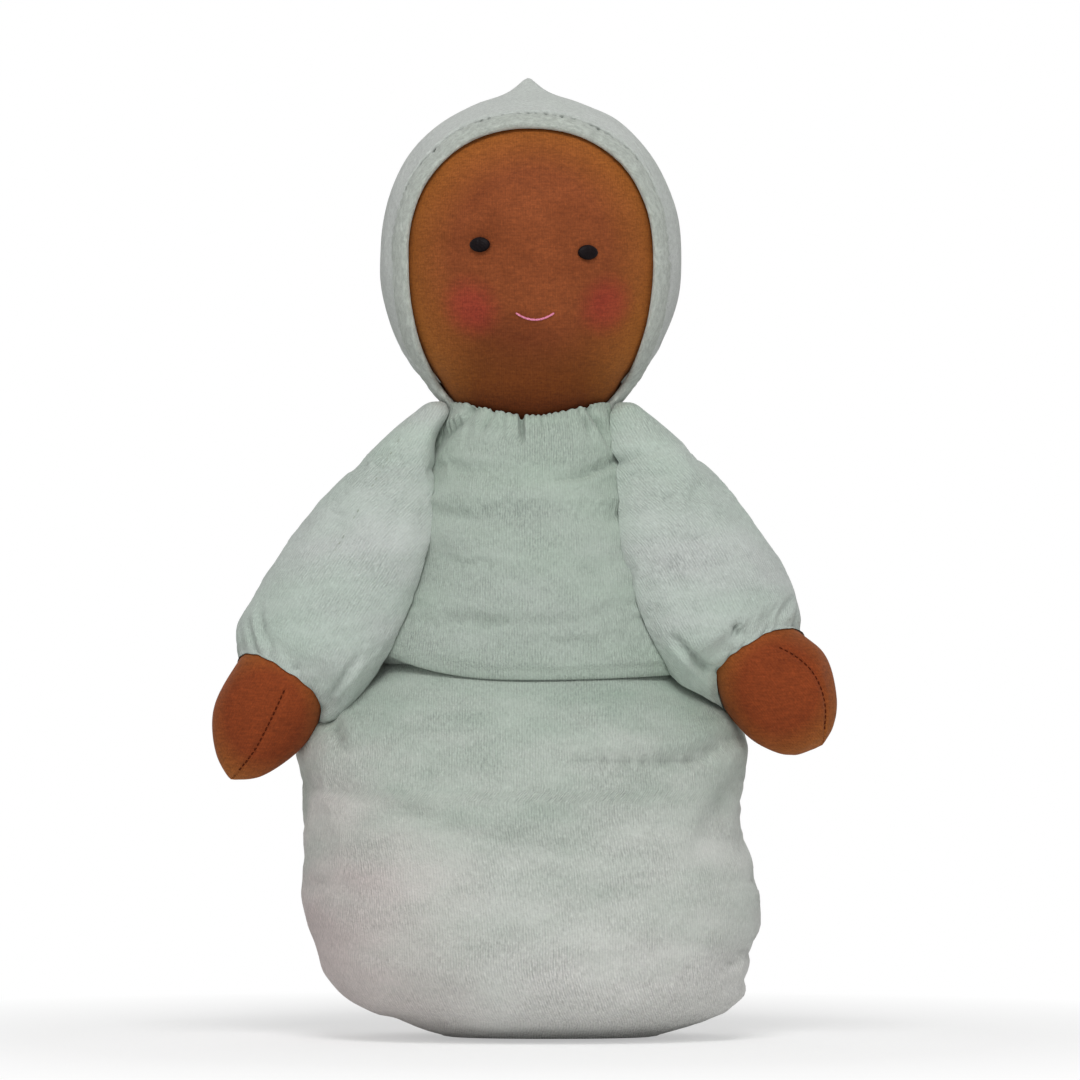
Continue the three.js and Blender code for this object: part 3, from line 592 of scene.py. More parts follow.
class SharedEffects:
    """The shader node groups that several finishes use."""

    def __init__(self) -> None:
        """Build every group once."""
        self.wales = self.build_wales()
        self.mottle = self.build_mottle()
        self.twist = self.build_twist()

    @staticmethod
    def build_wales() -> bpy.types.NodeTree:
        """Knitted wales: ribs along the grain, 0.5 + 0.5 sin(2 pi across / pitch), lost in long streaks.

        The height is 0.35 rib + 0.65 streak, where the streak is a noise drawn out along the grain, and
        a finer noise breaks both.

        Returns:
            The group.
        """
        n = new_group(
            "knitted_wales",
            [("Grain", VECTOR, None), ("Pitch", FLOAT, 0.95), ("Unevenness", FLOAT, 0.9)],
            [("Height", FLOAT), ("Fleck", FLOAT)],
        )
        put = n.add("NodeGroupInput")
        shake = n.noise(n.stretch(put.outputs["Grain"], (0.35, 0.2, 1)), 1.0, 2.0)
        aside = n.math("SUBTRACT", shake, 0.5)
        bent = n.math("MULTIPLY_ADD", aside, put.outputs["Unevenness"], n.split(put.outputs["Grain"])[0])
        turn = n.math("DIVIDE", n.times(bent, 2 * math.pi), put.outputs["Pitch"])
        rib = n.math("MULTIPLY_ADD", n.math("SINE", turn), 0.5, 0.5)
        streak = n.ramp(n.noise(n.stretch(put.outputs["Grain"], (1.5, 0.42, 1)), 1.0, 2.0), 0.3, 0.7)
        fleck = n.noise(n.stretch(put.outputs["Grain"], (1.6, 0.9, 1)), 1.0, 2.0, 0.65)
        both = n.math("MULTIPLY_ADD", streak, 0.65, n.times(rib, 0.35))
        mixed = n.times(both, n.ramp(fleck, 0.3, 0.7, 0.45, 1.0))
        n.add("NodeGroupOutput", {"Height": mixed, "Fleck": fleck})
        return n.tree

    @staticmethod
    def build_mottle() -> bpy.types.NodeTree:
        """Cloudy colour of hand-dyed cloth: two soft noises, drawn out across the body.

        Returns:
            The group.
        """
        n = new_group(
            "cloudy_dye",
            [("Place", VECTOR, None), ("Size", FLOAT, 0.05), ("Across", FLOAT, 1.8)],
            [("Cloud", FLOAT), ("Speck", FLOAT)],
        )
        put = n.add("NodeGroupInput")
        wide = n.math("DIVIDE", 1.0, n.times(put.outputs["Size"], put.outputs["Across"]))
        tall = n.math("DIVIDE", 1.0, put.outputs["Size"])
        scale = n.add("ShaderNodeCombineXYZ", {0: wide, 1: wide, 2: tall}).outputs[0]
        values = {0: put.outputs["Place"], 1: scale}
        place = n.add("ShaderNodeVectorMath", values, operation="MULTIPLY").outputs[0]
        cloud = n.noise(place, 1.0, 3.0, 0.55)
        speck = n.noise(place, 9.0, 3.0, 0.7)
        n.add("NodeGroupOutput", {"Cloud": n.ramp(cloud, 0.28, 0.72), "Speck": speck})
        return n.tree

    @staticmethod
    def build_twist() -> bpy.types.NodeTree:
        """Twisted plies of thread: slanting ridges 0.5 + 0.5 sin(2 pi (x + y + z) / pitch).

        Returns:
            The group.
        """
        n = new_group(
            "thread_twist",
            [("Place", VECTOR, None), ("Pitch", FLOAT, 0.0006)],
            [("Ridge", FLOAT), ("Fibre", FLOAT)],
        )
        put = n.add("NodeGroupInput")
        x, y, z = n.split(put.outputs["Place"])
        total = n.math("ADD", x, n.math("ADD", y, z))
        turn = n.math("DIVIDE", n.times(total, 2 * math.pi), put.outputs["Pitch"])
        ridge = n.math("MULTIPLY_ADD", n.math("SINE", turn), 0.5, 0.5)
        fibre = n.noise(put.outputs["Place"], 5000.0, 2.0, 0.6)
        n.add("NodeGroupOutput", {"Ridge": ridge, "Fibre": fibre})
        return n.tree


@dataclass(frozen=True)
class VelourFinish:
    """Short-piled knitted velour, dyed a cloudy sage that fades to grey, with painted shade in its creases and
    an optional paler base that is partly dye and partly painted light.
    """

    name: str
    sage: Colour
    grey: Colour
    grey_share: float = 0.4
    # Below the fade height the colour turns to the pale grey: partly the dye, partly painted light that lifts
    # a low base the lamps reach less.
    fade_height: float = 0.0
    fade_depth: float = 0.1
    ribs: float = 1.0
    wrinkles: float = 0.0
    mauve: Colour | None = None

    def material(self, effects: SharedEffects) -> Material:
        """Build the node material.

        Args:
            effects: The shared node groups.

        Returns:
            The material.
        """
        made, n, shader = new_material(self.name)
        where = n.add("ShaderNodeTexCoord").outputs
        place, grain = where["Object"], where["UV"]
        wales = n.add("ShaderNodeGroup", {"Grain": grain}, node_tree=effects.wales)
        values = {"Place": place, "Size": 0.03, "Across": 2.4}
        dye = n.add("ShaderNodeGroup", values, node_tree=effects.mottle)
        x, _, z = n.split(place)
        # Paler towards the bottom: partly the dye, partly painted light on the base, which the lamps light
        # less.
        low = n.ramp(z, self.fade_height, self.fade_height - self.fade_depth)
        share = n.math("ADD", n.math("MULTIPLY_ADD", dye.outputs["Cloud"], 0.6, self.grey_share - 0.3), low)
        tint = n.blend(n.ramp(share, 0.0, 1.0), linear(*self.sage), linear(*self.grey))
        if self.mauve is not None:
            aside = n.times(n.ramp(x, -0.01, -0.075), n.ramp(z, 0.12, 0.06))
            tint = n.blend(n.times(aside, n.ramp(share, 0.2, 0.9)), tint, linear(*self.mauve))
        patches = n.noise(n.stretch(place, (26, 26, 58)), 1.0, 3.0, 0.6)
        worn = n.ramp(patches, 0.36, 0.62, 0.4 * self.ribs, self.ribs)
        speck = n.ramp(dye.outputs["Speck"], 0.3, 0.7, 0.965, 1.025)
        ribs = n.ramp(wales.outputs["Height"], 0.05, 0.8, -0.27, 0.08)
        # Painted shade: the colour darkens where the mesh is concave, in creases, gathers and seams.
        painted_crease_shade = n.ramp(n.add("ShaderNodeNewGeometry").outputs["Pointiness"], 0.42, 0.49, 0.66, 1.0)
        nap = n.noise(place, 1100.0, 3.0, 0.7)
        tone = n.math("MULTIPLY_ADD", ribs, worn, n.ramp(nap, 0.3, 0.7, 0.92, 1.05))
        tone = n.times(speck, n.times(tone, painted_crease_shade))
        pile = n.math("MULTIPLY_ADD", n.times(wales.outputs["Height"], worn), 1.1, nap)
        if self.wrinkles:
            crease = n.ramp(n.noise(n.stretch(grain, (0.7, 0.3, 1)), 1.0, 5.0, 0.75), 0.4, 0.58)
            tone = n.times(tone, n.ramp(crease, 0, 1, 1 - 0.24 * self.wrinkles, 1.05))
            pile = n.math("MULTIPLY_ADD", crease, 3.0 * self.wrinkles, pile)
        look = {
            "Base Color": n.toned(tint, tone),
            "Roughness": n.ramp(nap, 0.3, 0.7, 0.82, 0.98),
            "Normal": n.bump(pile, 0.5, 0.0008),
            "Specular IOR Level": 0.2,
            "Sheen Weight": 0.22,
            "Sheen Roughness": 0.5,
        }
        n.feed(shader, look)
        return made


@dataclass(frozen=True)
class JerseyFinish:
    """Fine cotton jersey over tight wool, with deeper dye in places, an optional painted shade low on the chin
    and an optional blush on the cheeks.
    """

    name: str
    warm: Colour
    # The deep colour serves both the dye's darker patches and the painted shade under the chin.
    deep: Colour
    edge: Colour
    centre: tuple[float, float, float]
    half: tuple[float, float, float]
    cheeks: tuple[tuple[float, float, float], ...] = ()
    blush: Colour = (156, 38, 46)
    chin_shade_height: float | None = None

    def material(self, effects: SharedEffects) -> Material:
        """Build the node material.

        Args:
            effects: The shared node groups.

        Returns:
            The material.
        """
        made, n, shader = new_material(self.name)
        where = n.add("ShaderNodeTexCoord").outputs
        place = where["Object"]
        values = {"Grain": where["UV"], "Pitch": 0.8, "Unevenness": 0.5}
        wales = n.add("ShaderNodeGroup", values, node_tree=effects.wales)
        values = {"Place": place, "Size": 0.016, "Across": 1.2}
        dye = n.add("ShaderNodeGroup", values, node_tree=effects.mottle)
        tint = n.blend(n.times(dye.outputs["Cloud"], 0.42), linear(*self.warm), linear(*self.deep))
        streak = n.noise(n.stretch(place, (260, 260, 1500)), 1.0, 3.0, 0.7)
        grain = n.noise(place, 1250.0, 2.0, 0.6)
        scale = [1 / value for value in self.half]
        local = n.stretch(place, scale, [-c * s for c, s in zip(self.centre, scale)])
        x, _, z = n.split(local)
        side = n.math("ADD", n.math("POWER", x, 2.0), n.math("POWER", z, 2.0))
        rim = n.ramp(side, 0.35, 1.0, 0.0, 0.85)
        tint = n.blend(rim, tint, linear(*self.edge))
        # Painted shade: the lower middle of the face, which light from above leaves darker, is tinted towards
        # the deep colour.
        if self.chin_shade_height is not None:
            low = n.ramp(n.split(place)[2], self.chin_shade_height + 0.012, self.chin_shade_height - 0.02)
            painted_chin_shade = n.times(low, n.ramp(n.math("ABSOLUTE", x), 0.4, 0.84, 1.0, 0.0))
            tint = n.blend(n.times(painted_chin_shade, 0.9), tint, linear(*self.deep))
        for cheek in self.cheeks:
            gap = n.add("ShaderNodeVectorMath", {0: place, 1: cheek}, operation="DISTANCE").outputs["Value"]
            patchy = n.math("MULTIPLY_ADD", n.math("SUBTRACT", dye.outputs["Speck"], 0.5), 0.004, gap)
            values = {0: patchy, 1: 0.0145, 2: 0.003, 3: 0.0, 4: 0.42}
            soft = n.add("ShaderNodeMapRange", values, interpolation_type="SMOOTHSTEP")
            tint = n.blend(soft.outputs[0], tint, linear(*self.blush))
        speck = n.times(n.ramp(streak, 0.3, 0.7, 0.8, 1.18), n.ramp(grain, 0.3, 0.7, 0.84, 1.16))
        tone = n.times(speck, n.ramp(wales.outputs["Height"], 0.05, 0.8, 0.86, 1.1))
        look = {
            "Base Color": n.toned(tint, tone),
            "Roughness": n.ramp(wales.outputs["Fleck"], 0.3, 0.7, 0.72, 0.88),
            "Normal": n.bump(wales.outputs["Height"], 0.3, 0.0003),
            "Specular IOR Level": 0.12,
            "Sheen Weight": 0.03,
        }
        n.feed(shader, look)
        return made


@dataclass(frozen=True)
class ThreadFinish:
    """Twisted sewing or embroidery thread, or loose fibre."""

    name: str
    light: Colour
    dark: Colour
    roughness: float
    pitch: float = 0.0007
    relief: float = 0.5
    gloss: float = 0.4

    def material(self, effects: SharedEffects) -> Material:
        """Build the node material.

        Args:
            effects: The shared node groups.

        Returns:
            The material.
        """
        made, n, shader = new_material(self.name)
        values = {"Place": n.add("ShaderNodeTexCoord").outputs["Object"], "Pitch": self.pitch}
        twist = n.add("ShaderNodeGroup", values, node_tree=effects.twist)
        ridge, fibre = twist.outputs["Ridge"], twist.outputs["Fibre"]
        share = n.math("MULTIPLY_ADD", fibre, 0.4, n.times(ridge, 0.6))
        look = {
            "Base Color": n.blend(share, linear(*self.dark), linear(*self.light)),
            "Roughness": n.ramp(fibre, 0.3, 0.7, self.roughness - 0.06, self.roughness + 0.08),
            "Normal": n.bump(ridge, self.relief, 0.0002),
            "Specular IOR Level": self.gloss,
        }
        n.feed(shader, look)
        return made


def new_material(name: str) -> tuple[Material, Nodes, bpy.types.Node]:
    """Start a node material and return it with a node helper and its Principled shader."""
    made = bpy.data.materials.new(name)
    made.use_nodes = True
    return made, Nodes(made.node_tree), made.node_tree.nodes["Principled BSDF"]


@dataclass
class Wardrobe:
    """Every finish of the doll, built once."""

    body_velour: Material
    sleeve_velour: Material
    hood_velour: Material
    hem_velour: Material
    sack_velour: Material
    face_jersey: Material
    hand_jersey: dict[Side, Material]
    white_thread: Material
    velour_thread: Material
    dent_shade_thread: Material
    brown_thread: Material
    dark_thread: Material
    pink_thread: Material
    gauze: Material


def make_wardrobe(plan: Plan) -> Wardrobe:
    """Build the finishes.

    Args:
        plan: The doll's shared places.

    Returns:
        The finishes.
    """
    effects = SharedEffects()
    middle = plan.middle * MM
    face = JerseyFinish(
        "brown_jersey_face", (138, 73, 39), (80, 32, 9), (160, 96, 34),
        (middle, 0.0, plan.head * MM), (0.046, 1.0, 0.05),
        cheeks=((middle - 0.0221, -0.042, 0.2574), (middle + 0.028, -0.0395, 0.258)),
        chin_shade_height=0.244,
    )
    hands = {
        side: JerseyFinish(
            f"brown_jersey_{side.value}_hand", (136, 63, 29), (104, 44, 18), (150, 90, 40),
            tuple(float(v) * MM for v in plan.hand_middle(side)), (0.0225, 1.0, 0.0245),
        ).material(effects)
        for side in Side
    }
    finishes = {
        "body_velour": VelourFinish("sage_velour_bodice", (171, 188, 173), (178, 184, 179), 0.35, ribs=1.3),
        "sleeve_velour": VelourFinish("sage_velour_sleeves", (178, 196, 182), (196, 198, 197), 0.45, ribs=1.1),
        "hood_velour": VelourFinish(
            "sage_velour_hood", (193, 201, 193), (203, 206, 203), 0.6, ribs=0.1, wrinkles=0.4
        ),
        "hem_velour": VelourFinish(
            "sage_velour_hem", (185, 193, 183), (192, 197, 190), 0.5, ribs=0.1, wrinkles=0.8
        ),
        # The sack's pale grey and its fade below 0.11 m are partly the dye and partly painted light that
        # brightens the base.
        "sack_velour": VelourFinish(
            "sage_velour_sack", (163, 179, 166), (218, 218, 214), 0.2, 0.11, 0.12, 1.3, mauve=(204, 191, 188)
        ),
        "face_jersey": face,
        "white_thread": ThreadFinish("white_sewing_thread", (238, 233, 224), (206, 199, 186), 0.6),
        "velour_thread": ThreadFinish("sage_sewing_thread", (176, 184, 172), (128, 138, 124), 0.75),
        # Painted shade: the hem's stitches are a darker sage than the cloth's own thread, and stand for the
        # shade in the dents they pull.
        "dent_shade_thread": ThreadFinish("seam_thread_painted_dent_shade", (132, 142, 132), (96, 106, 98), 0.85),
        "brown_thread": ThreadFinish("brown_sewing_thread", (98, 40, 18), (56, 20, 9), 0.9, gloss=0.05),
        "dark_thread": ThreadFinish(
            "dark_satin_thread", (21, 12, 15), (6, 3, 4), 0.45, 0.0011, 0.2, 0.08
        ),
        "pink_thread": ThreadFinish("pink_embroidery_thread", (230, 150, 176), (196, 92, 132), 0.5, 0.001),
        "gauze": ThreadFinish("cotton_gauze", (243, 236, 222), (214, 204, 186), 0.95, 0.0009),
    }
    made = {name: finish.material(effects) for name, finish in finishes.items()}
    return Wardrobe(hand_jersey=hands, **made)


def dress(obj: Piece, material: Material) -> None:
    """Give a piece its one material."""
    obj.data.materials.clear()
    obj.data.materials.append(material)


# The doll's shared shape


@dataclass(frozen=True)
class Plan:
    """Places and radii that several pieces share, as the frame has them."""

    middle: float = 2.65
    waist: float = 85.0
    neck: float = 245.0
    head: float = 276.0
    neck_ball: float = 34.4
    head_half: tuple[float, float] = (50.4, 48.0)
    head_rise: float = 55.0
    head_drop: float = 52.5
    head_power: float = 2.2
    sack_half: tuple[float, float] = (81.0, 58.0)
    sack_power: float = 2.3
    bodice_low: float = 127.5
    bodice_long: float = 100.5
    bodice_half: tuple[float, float] = (61.5, 42.0)
    wrist_back: float = 6.0

    def head_distance(self, ways: Array, offset: float | Array) -> Array:
        """Distance from the head's middle to its surface, drawn out by an offset.

        Along a unit way w the oval lies at ((|wz|/rise)^p + hypot(wx/width, wy/depth)^p)^(-1/p), and the
        ball of the neck at c + sqrt(c^2 - h^2 + R^2), with c = w . (neck - head) and h their distance.
        The surface is the farther of the two, and 0.6 exp(-gap / 1.2) mm further where they meet.

        Args:
            ways: Unit ways from the head's middle.
            offset: Distance above the skin.

        Returns:
            A distance for each way.
        """
        width, depth = self.head_half
        rise = np.where(ways[..., 2] > 0, self.head_rise, self.head_drop) + offset
        flat = np.hypot(ways[..., 0] / (width + offset), ways[..., 1] / (depth + offset))
        body = (np.abs(ways[..., 2]) / rise) ** self.head_power + flat**self.head_power
        oval_at = body ** (-1 / self.head_power)
        drop = self.head - self.neck
        towards = -ways[..., 2] * drop
        ball = self.neck_ball + offset
        ball_at = towards + np.sqrt(np.maximum(towards**2 - drop**2 + ball**2, 0))
        near = 1.2
        top = np.maximum(oval_at, ball_at)
        return top + near * np.exp(-np.abs(oval_at - ball_at) / near) * 0.5

    def on_head(self, ways: Array, offset: float | Array) -> Array:
        """Points of the head's surface along unit ways from its middle."""
        far = self.head_distance(ways, offset)
        return np.array([self.middle, 0, self.head]) + ways * np.asarray(far)[..., None]

    def face_point(self, x: Array, z: Array, offset: float) -> tuple[Array, Array]:
        """Point and unit normal of the head's front at a place seen from the front.

        The depth is found in twelve rounds: each goes halfway to the depth that the last distance gives.

        Args:
            x: Places to the doll's left of its middle.
            z: Heights.
            offset: Distance above the skin.

        Returns:
            Points and unit normals.
        """
        x, z = np.broadcast_arrays(np.asarray(x, float), np.asarray(z, float))
        rise = z - self.head
        deep = np.full(x.shape, -30.0)
        for _ in range(12):
            far = self.head_distance(unit(together(x, deep, rise)), offset)
            deep = -np.sqrt(np.maximum(far**2 - x**2 - rise**2, 0.01)) * 0.5 + deep * 0.5
        points = together(x + self.middle, deep, z)
        return points, self.head_normal(points, offset)

    def head_normal(self, points: Array, offset: float) -> Array:
        """Outward normals of the head: the gradient of distance from its middle over its reach there.

        Args:
            points: Points near the head's surface.
            offset: Distance above the skin.

        Returns:
            Unit normals.
        """
        centre = np.array([self.middle, 0, self.head])
        slopes = []
        for axis in np.eye(3) * 0.2:
            ahead, behind = points + axis - centre, points - axis - centre
            far, near = np.linalg.norm(ahead, axis=-1), np.linalg.norm(behind, axis=-1)
            high = far / self.head_distance(ahead / far[..., None], offset)
            low = near / self.head_distance(behind / near[..., None], offset)
            slopes.append(high - low)
        return unit(together(*slopes))

    def bodice_share(self, z: Array, shares: Sequence[float]) -> Array:
        """Read a table of shares at a height of the bodice."""
        places = (0, 0.035, 0.13, 0.27, 0.42, 0.62, 0.8, 0.92, 1)
        return smooth_table((z - self.bodice_low) / self.bodice_long, places, shares)

    def bodice_width(self, z: Array) -> Array:
        """Half width of the bodice at a height."""
        shares = (0.965, 1, 0.98, 0.89, 0.79, 0.69, 0.59, 0.535, 0.51)
        return self.bodice_half[0] * self.bodice_share(z, shares)

    def bodice_depth(self, z: Array) -> Array:
        """Half depth of the bodice at a height."""
        shares = (0.955, 1, 1, 0.98, 0.92, 0.81, 0.71, 0.655, 0.63)
        return self.bodice_half[1] * self.bodice_share(z, shares)

    def sack_top(self, x: Array, y: Array, offset: float) -> Array:
        """Height of the sack's round top: a surface of revolution about the waist's axis along X."""
        width, depth = self.sack_half[0] + offset, self.sack_half[1] + offset
        radius = depth * oval((x - self.middle) / width, self.sack_power)
        return self.waist + np.sqrt(np.maximum(radius**2 - y**2, 0))

    def shoulder(self, side: Side) -> Array:
        """Middle of the stitches that hold a sleeve."""
        return np.array([self.middle + side.sign * 32.0944, -11.0, 222.0])

    def cuff(self, side: Side) -> Array:
        """Middle of a sleeve's end."""
        reach = (47.9, 89.0) if side is Side.LEFT else (56.7, 97.4)
        return self.shoulder(side) + np.array([side.sign * reach[0], -6.0, -reach[1]])

    def arm_frame(self, side: Side) -> tuple[Array, Array, Array, float]:
        """Unit ways outwards, forwards and along a sleeve, and its length.

        Args:
            side: Side of the doll.

        Returns:
            The three ways and the length.
        """
        way = self.cuff(side) - self.shoulder(side)
        length = float(np.linalg.norm(way))
        along = way / length
        out = np.cross(np.array([0.0, 1.0, 0.0]), along) * side.sign
        out /= -np.linalg.norm(out)
        front = np.cross(along, out) * side.sign
        front *= 1.0 if front[1] < 0 else -1.0
        out *= 1.0 if out[0] * side.sign > 0 else -1.0
        return out, front, along, length

    def wrist(self, side: Side) -> Array:
        """Centre of the wrist."""
        return self.cuff(side) - self.arm_frame(side)[2] * self.wrist_back

    def hand_frame(self, side: Side) -> tuple[Array, Array, Array]:
        """Unit ways outwards, forwards and along a hand.

        Args:
            side: Side of the doll.

        Returns:
            The three ways.
        """
        below = math.radians(53.0 if side is Side.LEFT else 62.0)
        along = unit(np.array([side.sign * math.cos(below), self.arm_frame(side)[2][1], -math.sin(below)]))
        out = unit(np.cross(np.array([0.0, 1.0, 0.0]), along))
        out *= 1.0 if out[0] * side.sign > 0 else -1.0
        front = np.cross(along, out)
        front *= 1.0 if front[1] < 0 else -1.0
        return out, front, along

    def hand_middle(self, side: Side) -> Array:
        """Middle of a hand."""
        return self.wrist(side) + self.hand_frame(side)[2] * 17.0


def push_outside(points: Array, plan: Plan, gap: float) -> Array:
    """Press cloth against the body: what lies in the bodice, the sack's top or the neck moves out.

    In the bodice, a point moves level and away from the body's axis until its oval share is 1. On the
    sack and at the neck's ball, it moves away from the waist's axis or the neck's centre.

    Args:
        points: Grid of points.
        plan: The doll's shared places.
        gap: Clearance to keep.

    Returns:
        The moved grid.
    """
    moved = points.copy()
    for _ in range(3):
        x, y, z = moved[..., 0] - plan.middle, moved[..., 1], moved[..., 2]
        wide, deep = plan.bodice_width(z) + gap, plan.bodice_depth(z) + gap
        share = np.maximum(np.hypot(x / wide, y / deep), 0.05)
        level = (z > plan.bodice_low - 2) & (z < plan.bodice_low + plan.bodice_long)
        grow = np.where(level & (share < 1), 1 / share, 1.0)
        x, y = x * grow, y * grow
        radius = (plan.sack_half[1] + gap + 0.6) * oval(x / (plan.sack_half[0] + gap), plan.sack_power)
        rise = z - plan.waist
        reach = np.hypot(y, rise)
        out = np.where((rise > 0) & (reach < radius), radius / np.maximum(reach, 1), 1.0)
        y, rise = y * out, rise * out
        up = plan.waist + rise - plan.neck
        ball = plan.neck_ball + 3.4 + gap
        away = np.sqrt(x**2 + y**2 + up**2)
        far = np.where(away < ball, ball / np.maximum(away, 1), 1.0)
        moved = together(x * far + plan.middle, y * far, plan.neck + up * far)
    return moved


# Cloth simulation


@dataclass(frozen=True)
class Stuffing:
    """Swells a cloth form with a short cloth simulation, so that it puckers between its held rows."""

    pressure: float
    excess: float
    cap: float
    frames: int = 18

    def swell(self, points: Array, start: Array, end: Array, held: Array) -> Array:
        """Simulate the grid as cloth under pressure and return the points where it comes to rest.

        The cloth is cut a little larger than its form, no point moves further than the cap, and held
        points stay.

        Args:
            points: Grid of points.
            start: Pole before the first row.
            end: Pole after the last row.
            held: Share, from 0 to 1, by which each point is held.

        Returns:
            The moved grid.
        """
        obj = Shell(points, start, end).build("swelling")
        group = obj.vertex_groups.new(name="held")
        weights = np.round(np.concatenate([held.ravel(), [1.0, 1.0]]), 1)
        for level in np.unique(weights):
            group.add(np.flatnonzero(weights == level).tolist(), float(level), "REPLACE")
        cloth = obj.modifiers.new("cloth", "CLOTH")
        settings = cloth.settings
        settings.quality = 6
        settings.mass = 0.25
        settings.tension_stiffness = settings.compression_stiffness = 14
        settings.bending_stiffness = 0.6
        settings.use_pressure = True
        settings.uniform_pressure_force = self.pressure
        settings.shrink_min = -self.excess
        settings.vertex_group_mass = "held"
        settings.pin_stiffness = 1.0
        settings.effector_weights.gravity = 0
        cloth.collision_settings.use_collision = False
        cloth.point_cache.frame_start, cloth.point_cache.frame_end = 1, self.frames
        scene = bpy.context.scene
        for frame in range(1, self.frames + 1):
            scene.frame_set(frame)
        found = obj.evaluated_get(bpy.context.evaluated_depsgraph_get())
        flat = np.zeros(len(found.data.vertices) * 3, np.float32)
        found.data.vertices.foreach_get("co", flat)
        scene.frame_set(1)
        swollen = flat.reshape(-1, 3)[:-2].reshape(points.shape).astype(float) / MM
        data = obj.data
        bpy.data.objects.remove(obj)
        bpy.data.meshes.remove(data)
        move = swollen - points
        far = np.linalg.norm(move, axis=-1, keepdims=True)
        return points + move * np.minimum(1, self.cap / np.maximum(far, 1e-6))


# Sack


@dataclass
class Sack:
    """The stuffed velour sack that the doll stands in."""

    plan: Plan
    wardrobe: Wardrobe
    columns: int = 144
    corner: float = 48.5
    corner_puff: float = 5.5
    heights: Table = (0.0, 2.5, 6, 13, 20, 27, 34, 41, 48, 56, 63, 70, 77, 85)
    right_reach: Table = (28, 37, 46, 62, 70.2, 74.2, 76.4, 78.6, 80.3, 80.9, 81, 81.1, 81.2, 81.3)
    left_reach: Table = (42, 51, 62, 73.5, 76.6, 77.4, 79.6, 81.4, 81.6, 80.4, 79, 76.8, 75.2, 74.8)
    folds: tuple[Fold, ...] = (
        Fold(
            ((78, 111), (70, 106.8), (62, 102.3), (54, 99.4), (44, 98.6), (28, 99.6), (10, 101.5)),
            3.1, 2.8, 1.9, -1,
        ),
        Fold(((70, 116), (56, 112.5), (36, 112), (14, 114)), 1.4, 2.4, 0.9, -1),
        Fold(((60, 93), (46, 90), (30, 92)), 1.0, 2.8, 0.5),
        Fold(((-72.5, 116), (-70, 112), (-67.5, 107), (-66, 103.5)), 3.2, 2.2, 0.8),
        Fold(((-60, 118), (-48, 112), (-30, 110), (-8, 112)), 1.2, 2.6, 0.6),
        Fold(((-72, 88), (-60, 85), (-45, 82), (-21, 74), (10, 69)), 1.3, 2.8, 0.8),
        Fold(((-82, 58), (-66, 55), (-46, 52)), 1.2, 2.4, 0.6),
        Fold(((-80, 38), (-60, 33), (-36, 32)), 0.7, 2.6, 0.4),
        Fold(((82, 80.5), (72, 78.5), (60, 79)), 0.9, 1.7, 0.5),
        Fold(((86, 58), (76, 54.5), (66, 54)), 1.3, 2.0, 0.7),
        Fold(((88, 37), (78, 31), (70, 28)), 1.8, 2.2, 0.9),
        Fold(((84, 24), (76, 20), (66, 19)), 1.0, 1.8, 0.5),
        Fold(((8, 68), (-3, 66.5), (-10, 68)), 0.5, 1.6),
        Fold(((70, 66), (52, 62), (38, 63)), 0.5, 2.6),
        Fold(((60, 104), (40, 97), (10, 98), (-30, 102)), 0.9, 3.0, 0.4, back=True),
        Fold(((-70, 80), (-40, 74), (0, 76)), 0.7, 3.0, 0.3, back=True),
        Fold(((76, 48), (50, 42), (28, 44)), 0.8, 2.8, 0.4, back=True),
    )

    def rings(self) -> Array:
        """Rows from the base to the round top.

        Below the waist a row is an oval of power 2.3 between the two side lines, as deep as the corner
        oval of power 2.8 gives. Above it, a row at an angle a has the height waist + depth sin(a), and
        each point keeps its distance from the waist's axis, so the bodice can slide over it.

        Returns:
            The sack's grid.
        """
        plan = self.plan
        angle = turns(self.columns)
        cos, sin = squared(np.cos(angle), plan.sack_power), squared(np.sin(angle), plan.sack_power)
        steep = np.linspace(0, 1, 22)[1:] * math.pi / 2
        low = 48.0 - self.corner * squared(np.cos(steep), 2.8)
        z = np.concatenate([np.maximum(low, 0.0), np.linspace(48, 85, 10)[1:]])
        depth = plan.sack_half[1] * np.where(z < 48, oval((48 - z) / self.corner, 2.8), 1.0)
        right = smooth_table(z, self.heights, self.right_reach)
        left = smooth_table(z, self.heights, self.left_reach)
        flat = np.minimum(1, (np.arange(len(z)) + 1.0) / 3.0)
        flat = np.where(z <= 0, flat, 1.0)
        half, shift = (left + right) / 2 * flat, (left - right) / 2
        across = plan.middle + shift[:, None] + half[:, None] * cos
        body = together(across, (depth * flat)[:, None] * sin, z[:, None])
        raised = np.linspace(0, 1, 25)[1:-1] * math.pi / 2
        rise = plan.sack_half[1] * np.sin(raised)[:, None]
        share = oval(rise / plan.sack_half[1], plan.sack_power) * cos
        radius = plan.sack_half[1] * oval(share, plan.sack_power)
        y = np.sign(np.sin(angle)) * np.sqrt(np.maximum(radius**2 - rise**2, 0))
        reach = np.where(share > 0, self.left_reach[-1], self.right_reach[-1])
        corner = self.corner_puff * ease(rise, 2, 22) * (1 - ease(rise, 27, 41))
        corner = corner * ease(np.abs(share), 0.6, 0.93) * np.where(share > 0, 1.0, 0.8)
        x = plan.middle + share * reach + np.sign(share) * corner
        return np.concatenate([body, together(x, y, plan.waist + rise)])

    def seam(self, points: Array) -> Array:
        """Depth of the side seams: a soft, puckered valley along the first and the middle column.

        Args:
            points: The sack's grid.

        Returns:
            The height of each point over the cloth, below zero in the valley.
        """
        valley = bell(seam_gap(self.columns), 1.3)[None, :]
        puckers = 1 + 0.35 * np.sin(points[..., 2] * 2 * math.pi / 7.0 + 2 * np.sin(points[..., 2] / 9))
        return -1.1 * valley * puckers * ease(points[..., 2], 4, 16)

